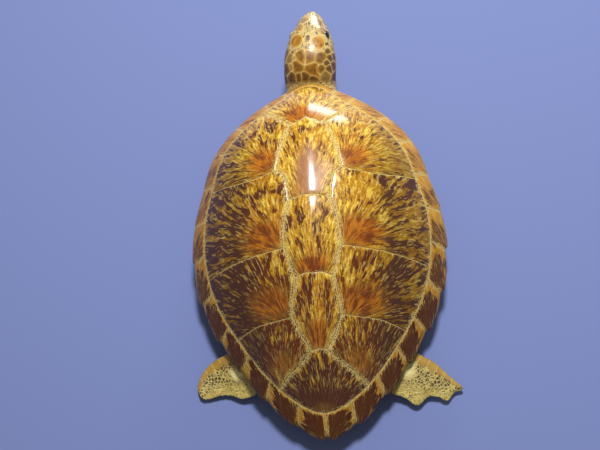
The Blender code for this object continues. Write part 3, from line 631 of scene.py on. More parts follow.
# Redness, the mauve of the second vertebral's middle, and the lines and borders of the seams.
rim_warmth = 0.1 + 0.3 * rear + 0.35 * (x < 0) * (1 - rear)
costal_warmth = 0.6 * (1 - ramp(0.0, 0.05, outward))
warm_mask = np.where(marginal, rim_warmth, np.where(costal, costal_warmth, 0.4))
warm_mask = np.minimum(warm_mask + 0.45 * (1 - front) * ~marginal + 0.4 * halo, 1.0)
warm_mask *= np.where(kind == "V5", 0.5, 1.0)
mauve_mask = np.where((kind == "V2") & (np.abs(x) < 0.024), 0.75, 0.0)
line_mm, band_mask = np.full(len(point), 9.0), np.zeros(len(point))
for ends, line, strength, width in seam_kinds:
    near = corner_distance(ends)
    line_mm = np.minimum(line_mm, near * 1000 / line)
    band_mask = np.maximum(band_mask, strength * (1 - ramp(0.15 * width, width, near)))
gloss_mask = (0.12 + 0.88 * ramp(0.8, 3.6, line_mm)) * (1 - 0.75 * marginal - 0.55 * outer_mask)
write_layer(mesh, "CORNER", "fan", fan)
write_layer(mesh, "CORNER", "zones", core_mask, dark_mask, warm_mask)
write_layer(mesh, "CORNER", "edges", line_mm, band_mask, outer_mask)
write_layer(mesh, "CORNER", "finish", mauve_mask, gloss_mask, 0.75 * marginal)
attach(carapace, "root")
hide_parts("carapace")

# ------------------------------------------------------------------ plastron
# The flat lower shell: paired pale yellow scutes over bone, carried up to the carapace by a bridge on
# each side.  Varnished like the back.  The whole turtle lies on it.

PLASTRON_THICKNESS = 0.009
BELLY_GROOVE_DEPTH = 0.0008
BELLY_GROOVE_WIDTH = 0.0012
FLAT_HALF_WIDTH = 0.1255
BRIDGE_REACH = 0.885
GAP = 0.0004

front_lobe = (
    (0.0, 0.166), (0.030, 0.163), (0.062, 0.150), (0.090, 0.124), (0.108, 0.092), (0.118, 0.062),
)
rear_lobe = (
    (0.113, -0.142), (0.105, -0.178), (0.092, -0.216), (0.068, -0.250), (0.038, -0.270),
    (0.012, -0.273), (0.0, -0.266),
)
bridge_angles = (66, 70, 74, 78, 82, 85, 89, 93, 97, 101, 105, 108.5, 112, 115, 118, 123)
bridge = [plan_point(angle, BRIDGE_REACH) for angle in bridge_angles]
inframarginal = ((0.118, 0.062), (0.122, 0.008), (0.125, -0.050), (0.121, -0.102), (0.113, -0.142))
plastron_cross = (
    ((0.0, 0.146), (0.015, 0.152), (0.030, 0.163)),
    ((0.0, 0.112), (0.030, 0.124), (0.062, 0.150)),
    ((0.0, 0.042), (0.060, 0.056), (0.118, 0.062)),
    ((0.0, -0.052), (0.060, -0.048), (0.125, -0.050)),
    ((0.0, -0.126), (0.060, -0.134), (0.113, -0.142)),
    ((0.0, -0.192), (0.050, -0.200), (0.092, -0.216)),
)

bm = bmesh.new()
midline = [seam[0] for seam in reversed(plastron_cross)]
plan_face(bm, [*flow(front_lobe), *bridge, *flow(rear_lobe), *midline])
cut_seam(bm, flow(inframarginal))
for seam in plastron_cross:
    cut_seam(bm, flow(seam, wander=0.0012))
for x, y, angle in ((0.122, 0.008, 82), (0.125, -0.050, 97), (0.121, -0.102, 112)):
    cut_seam(bm, flow(((x, y), plan_point(angle, BRIDGE_REACH))))
mirror_plan(bm, joined_above=0.145)
plastron_seams = edge_ends([e for e in bm.edges if len(e.link_faces) == 2])
plastron_rim = edge_ends([e for e in bm.edges if len(e.link_faces) == 1])

under = bm.faces[:]
made = bmesh.ops.extrude_face_region(bm, geom=under, use_keep_orig=True)["geom"]
bmesh.ops.translate(bm, verts=[g for g in made if isinstance(g, bmesh.types.BMVert)], vec=(0, 0, 1))
for width in SEAM_LOOPS:
    bmesh.ops.inset_individual(bm, faces=under, thickness=width, use_even_offset=False)
slice_plan(bm, 0.008)


def bridge_share(x, y):
    """How far up its bridge a place lies: 0 on the flat belly, 1 at the bridge's outer edge."""
    angle, reach = polar(x, y)
    edge = abs(x) * BRIDGE_REACH * rim_radius(angle) / max(reach, 0.001)
    if abs(x) <= FLAT_HALF_WIDTH:
        return 0.0
    return min((abs(x) - FLAT_HALF_WIDTH) / (edge - FLAT_HALF_WIDTH), 1.0)


spots = np.array([v.co.xy for v in bm.verts])
for v, seam, rim in zip(bm.verts, distance_to(plastron_seams, spots), distance_to(plastron_rim, spots)):
    level, (x, y) = v.co.z, v.co.xy
    share = bridge_share(x, y)
    edge_height = rim_height(polar(x, y)[0]) - RIM_THICKNESS - GAP - 1.5 * PLASTRON_THICKNESS
    v.co.z = edge_height * share**1.5
    if level > 0.5:
        v.co.z += PLASTRON_THICKNESS * (1.0 + 0.5 * share) - edge_drop(rim)
    else:
        v.co.z += BELLY_GROOVE_DEPTH * exp(-((seam / BELLY_GROOVE_WIDTH) ** 2)) + edge_drop(rim)
bmesh.ops.triangulate(bm, faces=bm.faces[:])
face_outward(bm)

# Pale keratin: clouded cream to straw, thin brown seams with a yellower border, under the same varnish.
pale_horn, add = new_material("varnished_pale_keratin")
plan = add("TexCoord").outputs["Object"]
seam_mm = add("Attribute", attribute_name="seam_mm").outputs["Fac"]
cloud = add("TexNoise", {"Vector": plan, "Scale": 26.0, "Detail": 4.0, "Roughness": 0.6})
grain = add("TexNoise", {"Vector": plan, "Scale": 300.0, "Detail": 2.0})
base = "#dcc588"
for source, low, high, most, colour in (
    (cloud, 0.36, 0.66, 1.0, "#b98f45"), (grain, 0.58, 0.70, 0.5, "#8a6430"),
    (seam_mm, 7.0, 1.0, 0.55, "#e3cf94"), (seam_mm, 1.1, 0.4, 0.85, "#6d4a20"),
):
    share = add("MapRange", {0: source, 1: low, 2: high, 4: most}, **SMOOTH)
    base = add("Mix", {0: share, 6: base, 7: colour}, **COLOUR)
worn = add("Bump", {"Height": grain, "Strength": 0.15, "Distance": 0.0005})
shader = add("BsdfPrincipled", {
    "Base Color": base, "Roughness": 0.45, "IOR": 1.55, "Normal": worn,
    "Coat Weight": 1.0, "Coat Roughness": 0.08, "Coat IOR": 1.5,
})
add("OutputMaterial", {"Surface": shader})

plastron = make_piece("plastron_shell", bm, pale_horn)
spots = np.array([v.co.xy for v in plastron.data.vertices])
layer = plastron.data.attributes.new("seam_mm", "FLOAT", "POINT")
layer.data.foreach_set("value", (distance_to(plastron_seams, spots) * 1000).astype(np.float32))
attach(plastron, "root")
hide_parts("plastron")

# ------------------------------------------------------------------ trunk
# The stuffed body between the two shells: dried skin, drawn tight and creased, that shows round the
# neck, above the flippers and at the tail.

# The half width, half length and middle of its outline on the plastron.
TRUNK_FOOT = (0.098, 0.2025, -0.0525)
TRUNK_FOOT_HEIGHT = 0.0098
TRUNK_POINTS = 200
LIP_CLEARANCE = 0.0015
ROOF_CLEARANCE = 0.010
SKIN_DIP = 0.0026


def trunk_point(angle, level):
    """A point of the body's skin: level 0 on the plastron, 2 under the marginals, 6 under the crown."""
    flank = smooth_step(48, 66, angle) * (1.0 - smooth_step(123, 138, angle))
    widest = ring_share(angle, 0.0) + 0.012
    widest += (0.74 - widest) * flank
    half_width, half_length, middle = TRUNK_FOOT
    foot_x, foot_y = half_width * sin(radians(angle)), middle + half_length * cos(radians(angle))
    foot = Vector((foot_x, foot_y, TRUNK_FOOT_HEIGHT))
    rim_x, rim_y = plan_point(angle, widest)
    lip = rim_height(angle) - RIM_THICKNESS - LIP_CLEARANCE
    rim = Vector((rim_x, rim_y, lip))
    if level < 2:
        bulge = foot.lerp(rim, 0.62 - 0.12 * flank)
        bulge.z = 0.42 * lip
        share = level / 2
        bend = bulge * 2 - (foot + rim) / 2
        return foot * (1 - share) ** 2 + bend * 2 * share * (1 - share) + rim * share**2
    if level == 2:
        return rim
    if level == 3:
        return Vector((*plan_point(angle, widest - 0.065), lip))
    x, y = plan_point(angle, {4: widest - 0.075, 5: 0.48, 6: 0.22}[level])
    return Vector((x, y, ceiling_height(x, y) - ROOF_CLEARANCE))


def loft(rings):
    """A closed skin through rings of points, each ring extruded from the one before."""
    bm = bmesh.new()
    foot = [bm.verts.new(point) for point in rings[0]]
    end = bm.faces.new(foot)
    for points in rings[1:]:
        end = bmesh.ops.extrude_discrete_faces(bm, faces=[end])["faces"][0]
        for v, point in zip(end.verts, points):
            v.co = point
    bm.faces.new(foot)
    face_outward(bm)
    return bm


rings = []
for level in (*[k / 6 for k in range(13)], 3, 4, 5, 6):
    points = []
    for k in range(TRUNK_POINTS):
        angle = 360.0 / TRUNK_POINTS * k
        point = trunk_point(min(angle, 360.0 - angle), level)
        points.append(Vector((point.x if angle < 180 else -point.x, point.y, point.z)))
    rings.append(points)
bm = loft(rings)
for v in bm.verts:
    if 0.012 < v.co.z < 0.075 and polar(*v.co.xy)[1] > 0.1:
        x, y, z = v.co
        fold = noise.noise((x * 22, y * 22, z * 90)) * 0.0024
        fold += noise.noise((x * 60, y * 60, z * 220)) * 0.0008
        rise, fall = smooth_step(0.012, 0.02, z), 1 - smooth_step(0.05, 0.075, z)
        v.co -= v.normal * (SKIN_DIP - fold) * rise * fall

# Dried skin: straw to olive, netted with small dark scales and fine creases, under thin varnish.
hide, add = new_material("varnished_dried_skin")
place = add("TexCoord").outputs["Object"]
cloud = add("TexNoise", {"Vector": place, "Scale": 30.0, "Detail": 4.0})
scales = {"Vector": place, "Scale": 300.0, "Randomness": 0.9}
cell = add("TexVoronoi", scales, feature="DISTANCE_TO_EDGE")
kernel = add("TexVoronoi", scales)
base = add("Mix", {0: cloud, 6: "#8a7440", 7: "#cdb67a"}, **COLOUR)
dark_patch = add("MapRange", {0: cloud, 1: 0.60, 2: 0.40, 4: 0.9}, **SMOOTH)
dark_core = add("MapRange", {0: kernel, 1: 0.50, 2: 0.25}, **SMOOTH)
spotted = add("Math", {0: dark_patch, 1: dark_core}, operation="MULTIPLY")
base = add("Mix", {0: spotted, 6: base, 7: "#4a3118"}, **COLOUR)
crease = add("MapRange", {0: cell, 1: 0.0, 2: 0.25}, **SMOOTH)
relief = add("Bump", {"Height": crease, "Strength": 0.55, "Distance": 0.0006})
shader = add("BsdfPrincipled", {
    "Base Color": base, "Roughness": 0.5, "IOR": 1.5, "Normal": relief,
    "Coat Weight": 0.6, "Coat Roughness": 0.15, "Coat IOR": 1.5,
})
add("OutputMaterial", {"Surface": shader})

trunk = make_piece("body_skin_piece", bm, hide)
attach(trunk, "root")
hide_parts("trunk")

# ------------------------------------------------------------------ head
# The stuffed head and neck: smooth horny plates with cream edges over the skull, a cream beak, small
# scales on the neck.  Dried and varnished like the shell.

HEAD_TURN = radians(-4.5)
HEAD_PIVOT = Vector((0.0, 0.236, 0.0))
HEAD_POINTS = 128
PLATE_GROOVE_DEPTH, PLATE_GROOVE_WIDTH_MM = 0.0004, 0.7
CHIN_NARROWING = 0.22
# The neck and head by sections: distance along Y, half width, height of the top and of the underside.
HEAD_SECTIONS = (
    (0.160, 0.054, 0.0765, 0.014), (0.178, 0.051, 0.078, 0.016), (0.200, 0.046, 0.080, 0.021),
    (0.216, 0.041, 0.0805, 0.029), (0.226, 0.0415, 0.095, 0.035), (0.240, 0.0425, 0.108, 0.041),
    (0.258, 0.0425, 0.1145, 0.046), (0.276, 0.040, 0.1155, 0.047), (0.297, 0.0355, 0.1125, 0.048),
    (0.315, 0.0285, 0.107, 0.050), (0.331, 0.0210, 0.100, 0.055), (0.3415, 0.0125, 0.0935, 0.062),
    (0.3450, 0.0062, 0.088, 0.070), (0.3460, 0.0004, 0.080, 0.079),
)
EYE_RADIUS = 0.0088
LID_RADIUS = 0.0094
# The head is rolled a little to its left: the right eye sits higher and looks further up.  Each eye's
# place, and how far up it looks.
EYES = ((Vector((0.0227, 0.2960, 0.0954)), radians(38)), (Vector((-0.0258, 0.2970, 0.0900)), radians(8)))
EYE_OPENING = 0.0074, 0.0056
EYE_SURROUND = 0.014
LID_REACH = 0.016
MOUTH_HEIGHT, MOUTH_DEPTH, UPPER_LIP = 0.0665, 0.0010, 0.0007
NOSTRIL_ACROSS, NOSTRIL_HEIGHT, NOSTRIL_RADIUS, NOSTRIL_DEPTH = 0.0042, 0.0965, 0.0013, 0.0016
BROW_HEIGHT = 0.0018
# The middle of each plate across, along and up, and its size, in millimetres, and its tint.
plates = [
    # The white plate on top of the snout is partly pale horn and partly a painted highlight.
    (-20.7, 281.6, 109.9, 13, "amber"), (14.9, 276.9, 113, 13, "amber"), (0, 309, 109.1, 9, "white_and_painted_highlight"),
    (3.9, 334.4, 97.8, 9, "cream"), (-16.1, 306.3, 105.9, 6, "honey"), (-8.6, 323, 102.2, 6, "straw"),
    (15.6, 319.5, 100.1, 7, "straw"), (19.3, 299.9, 106.4, 6, "straw"), (-1.4, 281.6, 115, 6, "straw"),
    (0, 268.8, 115.7, 5, "straw"), (-10.3, 252.2, 112.1, 8.5, "gold"), (1, 252.2, 113.1, 9, "rust"),
    (20.1, 252.2, 109.1, 8, "brown"), (-29.7, 253.2, 103.8, 6, "mauve"),
    (-24.6, 263.9, 108.8, 4, "straw"), (-23.9, 252.2, 107.2, 3.5, "straw"),
    (-19.9, 239.2, 103.6, 8.6, "gold"), (7.3, 233.6, 102.6, 9, "gold"), (-5.8, 226, 94.7, 6, "dark"),
    (19.8, 235.1, 100.6, 6, "brown"), (30.1, 264.9, 105, 4.5, "dark"), (33.6, 256.1, 100.9, 4.5, "dark"),
    (28.6, 246.3, 102.4, 4.5, "dark"), (32.5, 237.5, 94.5, 5, "dark"), (26.9, 230, 92.1, 5, "mauve"),
    (-34.3, 240.5, 92.7, 5, "dark"), (-27.3, 240.3, 99.1, 5, "mauve"), (-26.8, 229.6, 90.7, 5, "dark"),
    (-16.9, 226.3, 93.8, 5, "dark"), (5.3, 222.6, 91.5, 5, "dark"), (-37, 266, 95, 6, "brown"),
    (35.5, 274, 95, 4.5, "honey"), (38.5, 262, 90, 4.5, "dark"), (38.5, 246, 88, 5, "dark"),
    (-24.5, 318, 88, 8, "honey"), (24.5, 318, 88, 8, "cream"), (-34.5, 292, 84, 7.5, "honey"),
    (34.5, 289, 82, 7.5, "cream"), (39.5, 268, 76, 6.5, "honey"), (-39.5, 272, 76, 6.5, "brown"),
    (41, 252, 74, 6, "dark"), (-41, 254, 70, 7, "brown"), (40.5, 237, 74, 5.5, "dark"),
    (-40.5, 238, 72, 6, "dark"),
]
# Pairs of cream plates on the cheeks and throat, and a single one under the chin.
for x, y, z, size in (
    (33, 280, 60, 10), (22, 312, 58, 10), (34, 256, 53, 9), (0, 330, 53, 12), (12, 300, 48, 11),
    (12, 276, 46, 11), (12, 252, 44, 11),
):
    plates += [(side * x, y, z, size, "cream") for side in ((-1, 1) if x else (1,))]
# Each tint as shares of amber, soot and cream.
# The white tint, used only on top of the snout, is partly pale horn and partly a painted highlight.
plate_tints = {
    "amber": (1, 0, 0), "rust": (0.75, 0.30, 0), "gold": (0.55, 0.12, 0), "brown": (0.35, 0.45, 0),
    "mauve": (0.10, 0.45, 0.25), "dark": (0, 0.95, 0), "honey": (0.60, 0, 0.45), "cream": (0.10, 0, 0.85),
    "straw": (0.60, 0.10, 0.50), "white_and_painted_highlight": (0, 0, 1),
}
# The two round plates behind the eyes reach this share of their size.
ROUND_PLATE = 0.92


def stations(table, spacing):
    """Rows between those of a table, on smooth curves, and about the spacing apart."""
    rows = []
    for i in range(len(table) - 1):
        near = [min(max(k, 0), len(table) - 1) for k in range(i - 1, i + 3)]
        before, a, b, after = (np.array(table[k]) for k in near)
        steps = max(1, round(float(np.linalg.norm((b - a)[:3])) / spacing))
        for k in range(steps):
            rows.append(hermite(a, (b - before) / 2, b, (after - a) / 2, k / steps))
    return rows + [np.array(table[-1])]


rings = []
for y, half_width, top, bottom in stations(HEAD_SECTIONS, 0.0013):
    ring = []
    for k in range(HEAD_POINTS):
        turn = 2 * pi * k / HEAD_POINTS
        across, up = cos(turn), sin(turn)
        narrow = 1.0 + CHIN_NARROWING * min(up, 0.0)
        height = (top + bottom) / 2 + (top - bottom) / 2 * up
        ring.append(Vector((half_width * across * narrow, y, height)))
    rings.append(ring)
bm = loft(rings)

# More points round the eyes, for the rims of the lids.
close = [
    e for e in bm.edges if min((v.co - eye).length for v in e.verts for eye, up in EYES) < EYE_SURROUND
]
bmesh.ops.subdivide_edges(bm, edges=close, cuts=1, use_grid_fill=True)

seeds = np.array([plate[:3] for plate in plates]) / 1000
sizes = np.array([plate[3] for plate in plates]) / 1000
bm.normal_update()
spots = np.array([v.co for v in bm.verts])
apart = np.linalg.norm(spots[:, None] - seeds, axis=2) / sizes
order = np.argsort(apart, axis=1)
nearest, second = order[:, 0], order[:, 1]
rows = np.arange(len(spots))
edge_mm = 1000 * (apart[rows, second] - apart[rows, nearest]) / (1 / sizes[nearest] + 1 / sizes[second])
tints = np.array([plate_tints[plate[4]] for plate in plates])
plate_tint = tints[nearest]
is_round = plate_tint[:, 0] > 0.9
round_scale = np.clip((apart[rows, nearest] - ROUND_PLATE) / 0.05, 0, 1)[:, None] * is_round[:, None]
round_mm = 1000 * sizes[nearest] * np.abs(apart[rows, nearest] - ROUND_PLATE)
edge_mm = np.where(is_round, np.minimum(edge_mm, round_mm), edge_mm)
plate_tint = plate_tint * (1 - round_scale) + np.array(plate_tints["cream"]) * round_scale
plate_tint *= 0.90 + 0.1 * np.sin(np.arange(len(plates)) * 2.4)[nearest][:, None]
scaled = np.array([smooth_step(0.217, 0.223, y + 0.25 * (z - 0.090)) for _, y, z in spots])
snout = np.array([smooth_step(0.285, 0.300, y) for y in spots[:, 1]])

for v, edge, horny in zip(bm.verts, edge_mm, scaled):
    x, y, z = v.co
    inward = PLATE_GROOVE_DEPTH * exp(-((edge / PLATE_GROOVE_WIDTH_MM) ** 2)) * horny
    beak = smooth_step(0.268, 0.285, y)
    mouth = z - MOUTH_HEIGHT - 0.05 * (0.346 - y) * (y - 0.270) / 0.038
    slit, above = exp(-((mouth / 0.0009) ** 2)), exp(-((mouth / 0.004 - 0.6) ** 2))
    inward += MOUTH_DEPTH * beak * slit - UPPER_LIP * beak * above
    nostril = hypot(abs(x) - NOSTRIL_ACROSS, (z - NOSTRIL_HEIGHT) * 0.7)
    inward += NOSTRIL_DEPTH * exp(-((nostril / NOSTRIL_RADIUS) ** 2)) * smooth_step(0.330, 0.336, y)
    for eye, up in EYES:
        if x * eye.x > 0:
            brow = hypot((y - eye.y) / 0.017, (z - eye.z - 0.0125 + 0.003 * sin(up)) / 0.006)
            inward -= BROW_HEIGHT * exp(-(brow**2))
    v.co -= v.normal * inward
for eye, up in EYES:
    side = 1 if eye.x > 0 else -1
    look, lid_up = Vector((side * cos(up), 0, sin(up))), Vector((-side * sin(up), 0, cos(up)))
    for v in bm.verts:
        out = v.co - eye
        if out.dot(look) < 0 or out.length > LID_REACH:
            continue
        across = Vector((0, out.y, 0)) + lid_up * out.dot(lid_up)
        opening = hypot(out.y / EYE_OPENING[0], out.dot(lid_up) / EYE_OPENING[1])
        if opening >= 1.0:
            bulge = LID_RADIUS + 0.0007 * exp(-(((opening - 1.12) / 0.12) ** 2))
            if across.length < bulge:
                v.co += look * max(0.0, sqrt(bulge**2 - across.length**2) - out.dot(look))
        elif across.length > 0.0:
            edge_radius = min(across.length / opening, LID_RADIUS * 0.98)
            depth = (pi - asin(edge_radius / LID_RADIUS)) * opening
            v.co = eye - look * LID_RADIUS * cos(depth) + across.normalized() * LID_RADIUS * sin(depth)


def turned_head(point):
    """The head looks slightly to the turtle's right, bent at the neck."""
    turned = HEAD_PIVOT + Matrix.Rotation(HEAD_TURN, 3, "Z") @ (point - HEAD_PIVOT)
    return point.lerp(turned, smooth_step(0.215, 0.250, point.y))


for v in bm.verts:
    v.co = turned_head(v.co)

# Horn of the plates: amber to umber, cream at the edges and over the beak, freckled, under varnish.
head_horn, add = new_material("varnished_head_scales")
place = add("TexCoord").outputs["Object"]
(amber_share, soot, paleness), (rim_mm, scaly, shine) = (
    add("SeparateXYZ", {0: add("Attribute", attribute_name=name).outputs["Vector"]}).outputs
    for name in ("tint", "detail")
)
cloud = add("TexNoise", {"Vector": place, "Scale": 90.0, "Detail": 4.0, "Roughness": 0.6})
drawn_out = add("VectorMath", {0: place, 1: (1.0, 0.5, 0.7)}, operation="MULTIPLY")
freckle = add("TexNoise", {"Vector": drawn_out, "Scale": 330.0, "Detail": 1.0})
patchy = add("TexNoise", {"Vector": place, "Scale": 45.0, "Detail": 2.0})
patches = add("MapRange", {0: cloud, 1: 0.36, 2: 0.64})
umber = add("Mix", {0: patches, 6: "#4e3608", 7: "#7e5c0e"}, **COLOUR)
amber = add("Mix", {0: patches, 6: "#7e4a06", 7: "#ba8212"}, **COLOUR)
base = add("Mix", {0: amber_share, 6: umber, 7: amber}, **COLOUR)
mottle = add("TexNoise", {"Vector": place, "Scale": 210.0, "Detail": 3.0, "Roughness": 0.65})
mottled = add("MapRange", {0: mottle, 1: 0.46, 2: 0.62, 4: 0.50}, **SMOOTH)
base = add("Mix", {0: mottled, 6: base, 7: "#4e3410"}, **COLOUR)
glow = add("MapRange", {0: rim_mm, 1: 0.6, 2: 4.0, 3: 0.55, 4: 0.0})
base = add("Mix", {0: glow, 6: base, 7: "#d0a238"}, **COLOUR)
sooty = add("MapRange", {0: cloud, 1: 0.40, 2: 0.62, 3: 0.35, 4: 0.95})
sooty = add("Math", {0: sooty, 1: soot}, operation="MULTIPLY")
base = add("Mix", {0: sooty, 6: base, 7: "#4f3220"}, **COLOUR)
# Full paleness on the white plate on top of the snout is partly a painted highlight.
pale = add("Mix", {0: patchy, 6: "#a08028", 7: "#d6c488"}, **COLOUR)
base = add("Mix", {0: paleness, 6: base, 7: pale}, **COLOUR)
speck = add("MapRange", {0: freckle, 1: 0.53, 2: 0.59}, **SMOOTH)
speckled = add("MapRange", {0: patchy, 1: 0.34, 2: 0.48, 4: 0.95}, **SMOOTH)
speck = add("Math", {0: speck, 1: speckled}, operation="MULTIPLY")
on_pale = add("MapRange", {0: paleness, 1: 0.2, 2: 0.5})
speck = add("Math", {0: speck, 1: on_pale}, operation="MULTIPLY")
base = add("Mix", {0: speck, 6: base, 7: "#43361c"}, **COLOUR)
edge = add("MapRange", {0: rim_mm, 1: 0.95, 2: 0.35, 4: 0.9}, **SMOOTH)
cream = add("Mix", {0: freckle, 6: "#b48e42", 7: "#e0c88e"}, **COLOUR)
base = add("Mix", {0: edge, 6: base, 7: cream}, **COLOUR)
grid = add("TexVoronoi", {"Vector": place, "Scale": 260.0}, feature="DISTANCE_TO_EDGE")
kernel = add("TexVoronoi", {"Vector": place, "Scale": 260.0})
chance = kernel.outputs["Color"]
small = add("Mix", {0: chance, 6: "#664826", 7: "#d0ac58"}, **COLOUR)
netting = add("MapRange", {0: grid, 1: 0.16, 2: 0.04}, **SMOOTH)
small = add("Mix", {0: netting, 6: small, 7: "#dcc27c"}, **COLOUR)
base = add("Mix", {0: scaly, 6: small, 7: base}, **COLOUR)
creases = add("MapRange", {0: grid, 1: 0.0, 2: 0.2}, **SMOOTH)
creases = add("Mix", {0: scaly, 2: creases, 3: 1.0})
relief = add("Bump", {"Height": creases, "Strength": 0.5, "Distance": 0.0006})
varnish = add("MapRange", {0: shine, 3: 0.25, 4: 0.85})
shader = add("BsdfPrincipled", {
    "Base Color": base, "Roughness": 0.45, "IOR": 1.52, "Normal": relief,
    "Coat Weight": varnish, "Coat Roughness": 0.24, "Coat IOR": 1.5,
})
add("OutputMaterial", {"Surface": shader})

head = make_piece("head_piece", bm, head_horn)
write_layer(head.data, "POINT", "tint", plate_tint)
write_layer(head.data, "POINT", "detail", edge_mm, scaled, snout)
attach(head, "root")
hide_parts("head")

# ------------------------------------------------------------------ eyes
# Dark glass eyes, set from behind into the lids.

glass, add = new_material("dark_glass")
shader = add("BsdfPrincipled", {
    "Base Color": "#140d08", "Roughness": 0.08, "IOR": 1.52,
    "Coat Weight": 1.0, "Coat Roughness": 0.03,
})
add("OutputMaterial", {"Surface": shader})
for name, (place, up) in zip(("eye_right", "eye_left"), EYES):
    centre = turned_head(place)
    bm = bmesh.new()
    turn = Matrix.Translation(centre) @ Matrix.Rotation(pi / 2, 4, "Y")
    bmesh.ops.create_uvsphere(bm, u_segments=48, v_segments=24, radius=EYE_RADIUS, matrix=turn)
    eye = make_piece(name + "_glass", bm, glass)
    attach(eye, "root")
    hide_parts(name)

# ------------------------------------------------------------------ flippers
# Four dried flippers: stiff skin over flat bones, large horny scales along the leading edge, a net of
# small ones behind it, and a thin, cockled trailing edge.  The front pair is folded back under the rim.

# By sections from root to tip: leading edge, trailing edge, thickness.
FRONT_FLIPPER = (
    (0.1, 0.12, 0.026, 0.105, 0.08, 0.056, 0.026), (0.116, 0.122, 0.022, 0.118, 0.08, 0.055, 0.022),
    (0.14, 0.108, 0.014, 0.14, 0.076, 0.053, 0.017), (0.149, 0.076, 0.009, 0.164, 0.06, 0.051, 0.012),
    (0.147, 0.04, 0.007, 0.176, 0.028, 0.053, 0.01), (0.145, 0.0, 0.007, 0.179, -0.008, 0.052, 0.008),
    (0.147, -0.042, 0.007, 0.177, -0.045, 0.044, 0.007),
    (0.151, -0.076, 0.008, 0.169, -0.08, 0.03, 0.0055),
    (0.155, -0.098, 0.009, 0.161, -0.101, 0.018, 0.004),
)
HIND_FLIPPER_RIGHT = (
    (0.103, -0.192, 0.034, 0.074, -0.236, 0.029, 0.022),
    (0.118, -0.202, 0.031, 0.08, -0.252, 0.027, 0.02),
    (0.147, -0.223, 0.024, 0.099, -0.279, 0.02, 0.013),
    (0.16, -0.2305, 0.021, 0.117, -0.287, 0.017, 0.011),
    (0.171, -0.238, 0.018, 0.138, -0.3, 0.014, 0.01), (0.18, -0.247, 0.016, 0.154, -0.288, 0.013, 0.009),
    (0.189, -0.256, 0.0145, 0.17, -0.2885, 0.012, 0.008),
    (0.198, -0.2645, 0.013, 0.184, -0.295, 0.011, 0.007),
    (0.205, -0.271, 0.012, 0.195, -0.283, 0.01, 0.006),
    (0.2095, -0.276, 0.011, 0.2065, -0.28, 0.01, 0.004),
)
HIND_FLIPPER_LEFT = (
    (-0.106, -0.178, 0.034, -0.078, -0.229, 0.029, 0.022),
    (-0.122, -0.186, 0.031, -0.087, -0.25, 0.027, 0.02),
    (-0.152, -0.204, 0.024, -0.107, -0.269, 0.02, 0.013),
    (-0.171, -0.212, 0.018, -0.13, -0.276, 0.014, 0.01),
    (-0.187, -0.223, 0.0145, -0.15, -0.27, 0.012, 0.008),
    (-0.198, -0.238, 0.013, -0.168, -0.269, 0.011, 0.007),
    (-0.203, -0.253, 0.012, -0.184, -0.273, 0.01, 0.0055),
    (-0.2, -0.267, 0.011, -0.193, -0.273, 0.01, 0.004),
)
LEADING_SCALE = 0.0145
COCKLE = 0.0016
RAGGEDNESS = 0.0022
# Half of the cross-section: share of the chord from its middle, share of the thickness.
FLIPPER_PROFILE = (
    (-0.500, 0.0), (-0.488, 0.16), (-0.455, 0.32), (-0.40, 0.43), (-0.34, 0.46), (-0.22, 0.44),
    (-0.10, 0.41), (0.02, 0.36), (0.14, 0.30), (0.26, 0.22), (0.36, 0.16), (0.44, 0.12), (0.485, 0.09),
    (0.500, 0.0),
)

# Flipper skin: ochre horn on the leading scales, straw net lines round dark scales, freckled towards the
# trailing edge, a cream callus near the root; stiff and shiny with varnish.
leather, add = new_material("varnished_flipper_skin")
place = add("TexCoord").outputs["Object"]
limb = add("Attribute", attribute_name="limb").outputs["Vector"]
from_lead, along, callus = add("SeparateXYZ", {0: limb}).outputs
cloud = add("TexNoise", {"Vector": place, "Scale": 70.0, "Detail": 4.0, "Roughness": 0.6})
fine = add("TexNoise", {"Vector": place, "Scale": 420.0, "Detail": 2.0})
net = add("TexVoronoi", {"Vector": place, "Scale": 205.0, "Randomness": 0.85}, feature="DISTANCE_TO_EDGE")
straw = add("Mix", {0: cloud, 6: "#8e7832", 7: "#dcc66e"}, **COLOUR)
freckles = add("MapRange", {0: fine, 1: 0.52, 2: 0.62, 4: 0.75}, **SMOOTH)
hind_part = add("Mix", {0: freckles, 6: straw, 7: "#5d4a26"}, **COLOUR)
cell = add("MapRange", {0: net, 1: 0.10, 2: 0.17}, **SMOOTH)
middle = add("MapRange", {0: from_lead, 1: 0.85, 2: 0.45, 4: 0.95}, **SMOOTH)
uneven = add("MapRange", {0: cloud, 1: 0.66, 2: 0.50, 3: 0.35, 4: 1.0}, **SMOOTH)
dark = add("Math", {0: cell, 1: middle}, operation="MULTIPLY")
dark = add("Math", {0: dark, 1: uneven}, operation="MULTIPLY")
base = add("Mix", {0: dark, 6: hind_part, 7: "#3b2a10"}, **COLOUR)
cream = add("Mix", {0: fine, 6: "#c6b060", 7: "#f8eaa8"}, **COLOUR)
base = add("Mix", {0: callus, 6: base, 7: cream}, **COLOUR)
ochre = add("Mix", {0: cloud, 6: "#7d5a14", 7: "#b48e34"}, **COLOUR)
scale_edge = add("Math", {0: along, 1: 1.0}, operation="FRACT")
scale_edge = add("Math", {0: scale_edge, 1: 0.5}, operation="SUBTRACT")
scale_edge = add("Math", {0: scale_edge}, operation="ABSOLUTE")
scale_line = add("MapRange", {0: scale_edge, 1: 0.43, 2: 0.48}, **SMOOTH)
ochre = add("Mix", {0: scale_line, 6: ochre, 7: "#b99a48"}, **COLOUR)
rounded = add("Math", {0: scale_edge, 1: scale_edge}, operation="MULTIPLY")
rounded = add("Math", {0: rounded, 1: 0.35, 2: from_lead}, operation="MULTIPLY_ADD")
band = add("MapRange", {0: rounded, 1: 0.235, 2: 0.205}, **SMOOTH)
base = add("Mix", {0: band, 6: base, 7: ochre}, **COLOUR)
height = add("MapRange", {0: net, 1: 0.0, 2: 0.22}, **SMOOTH)
height = add("Mix", {0: band, 2: height, 3: 1.0})
relief = add("Bump", {"Height": height, "Strength": 0.5, "Distance": 0.0006})
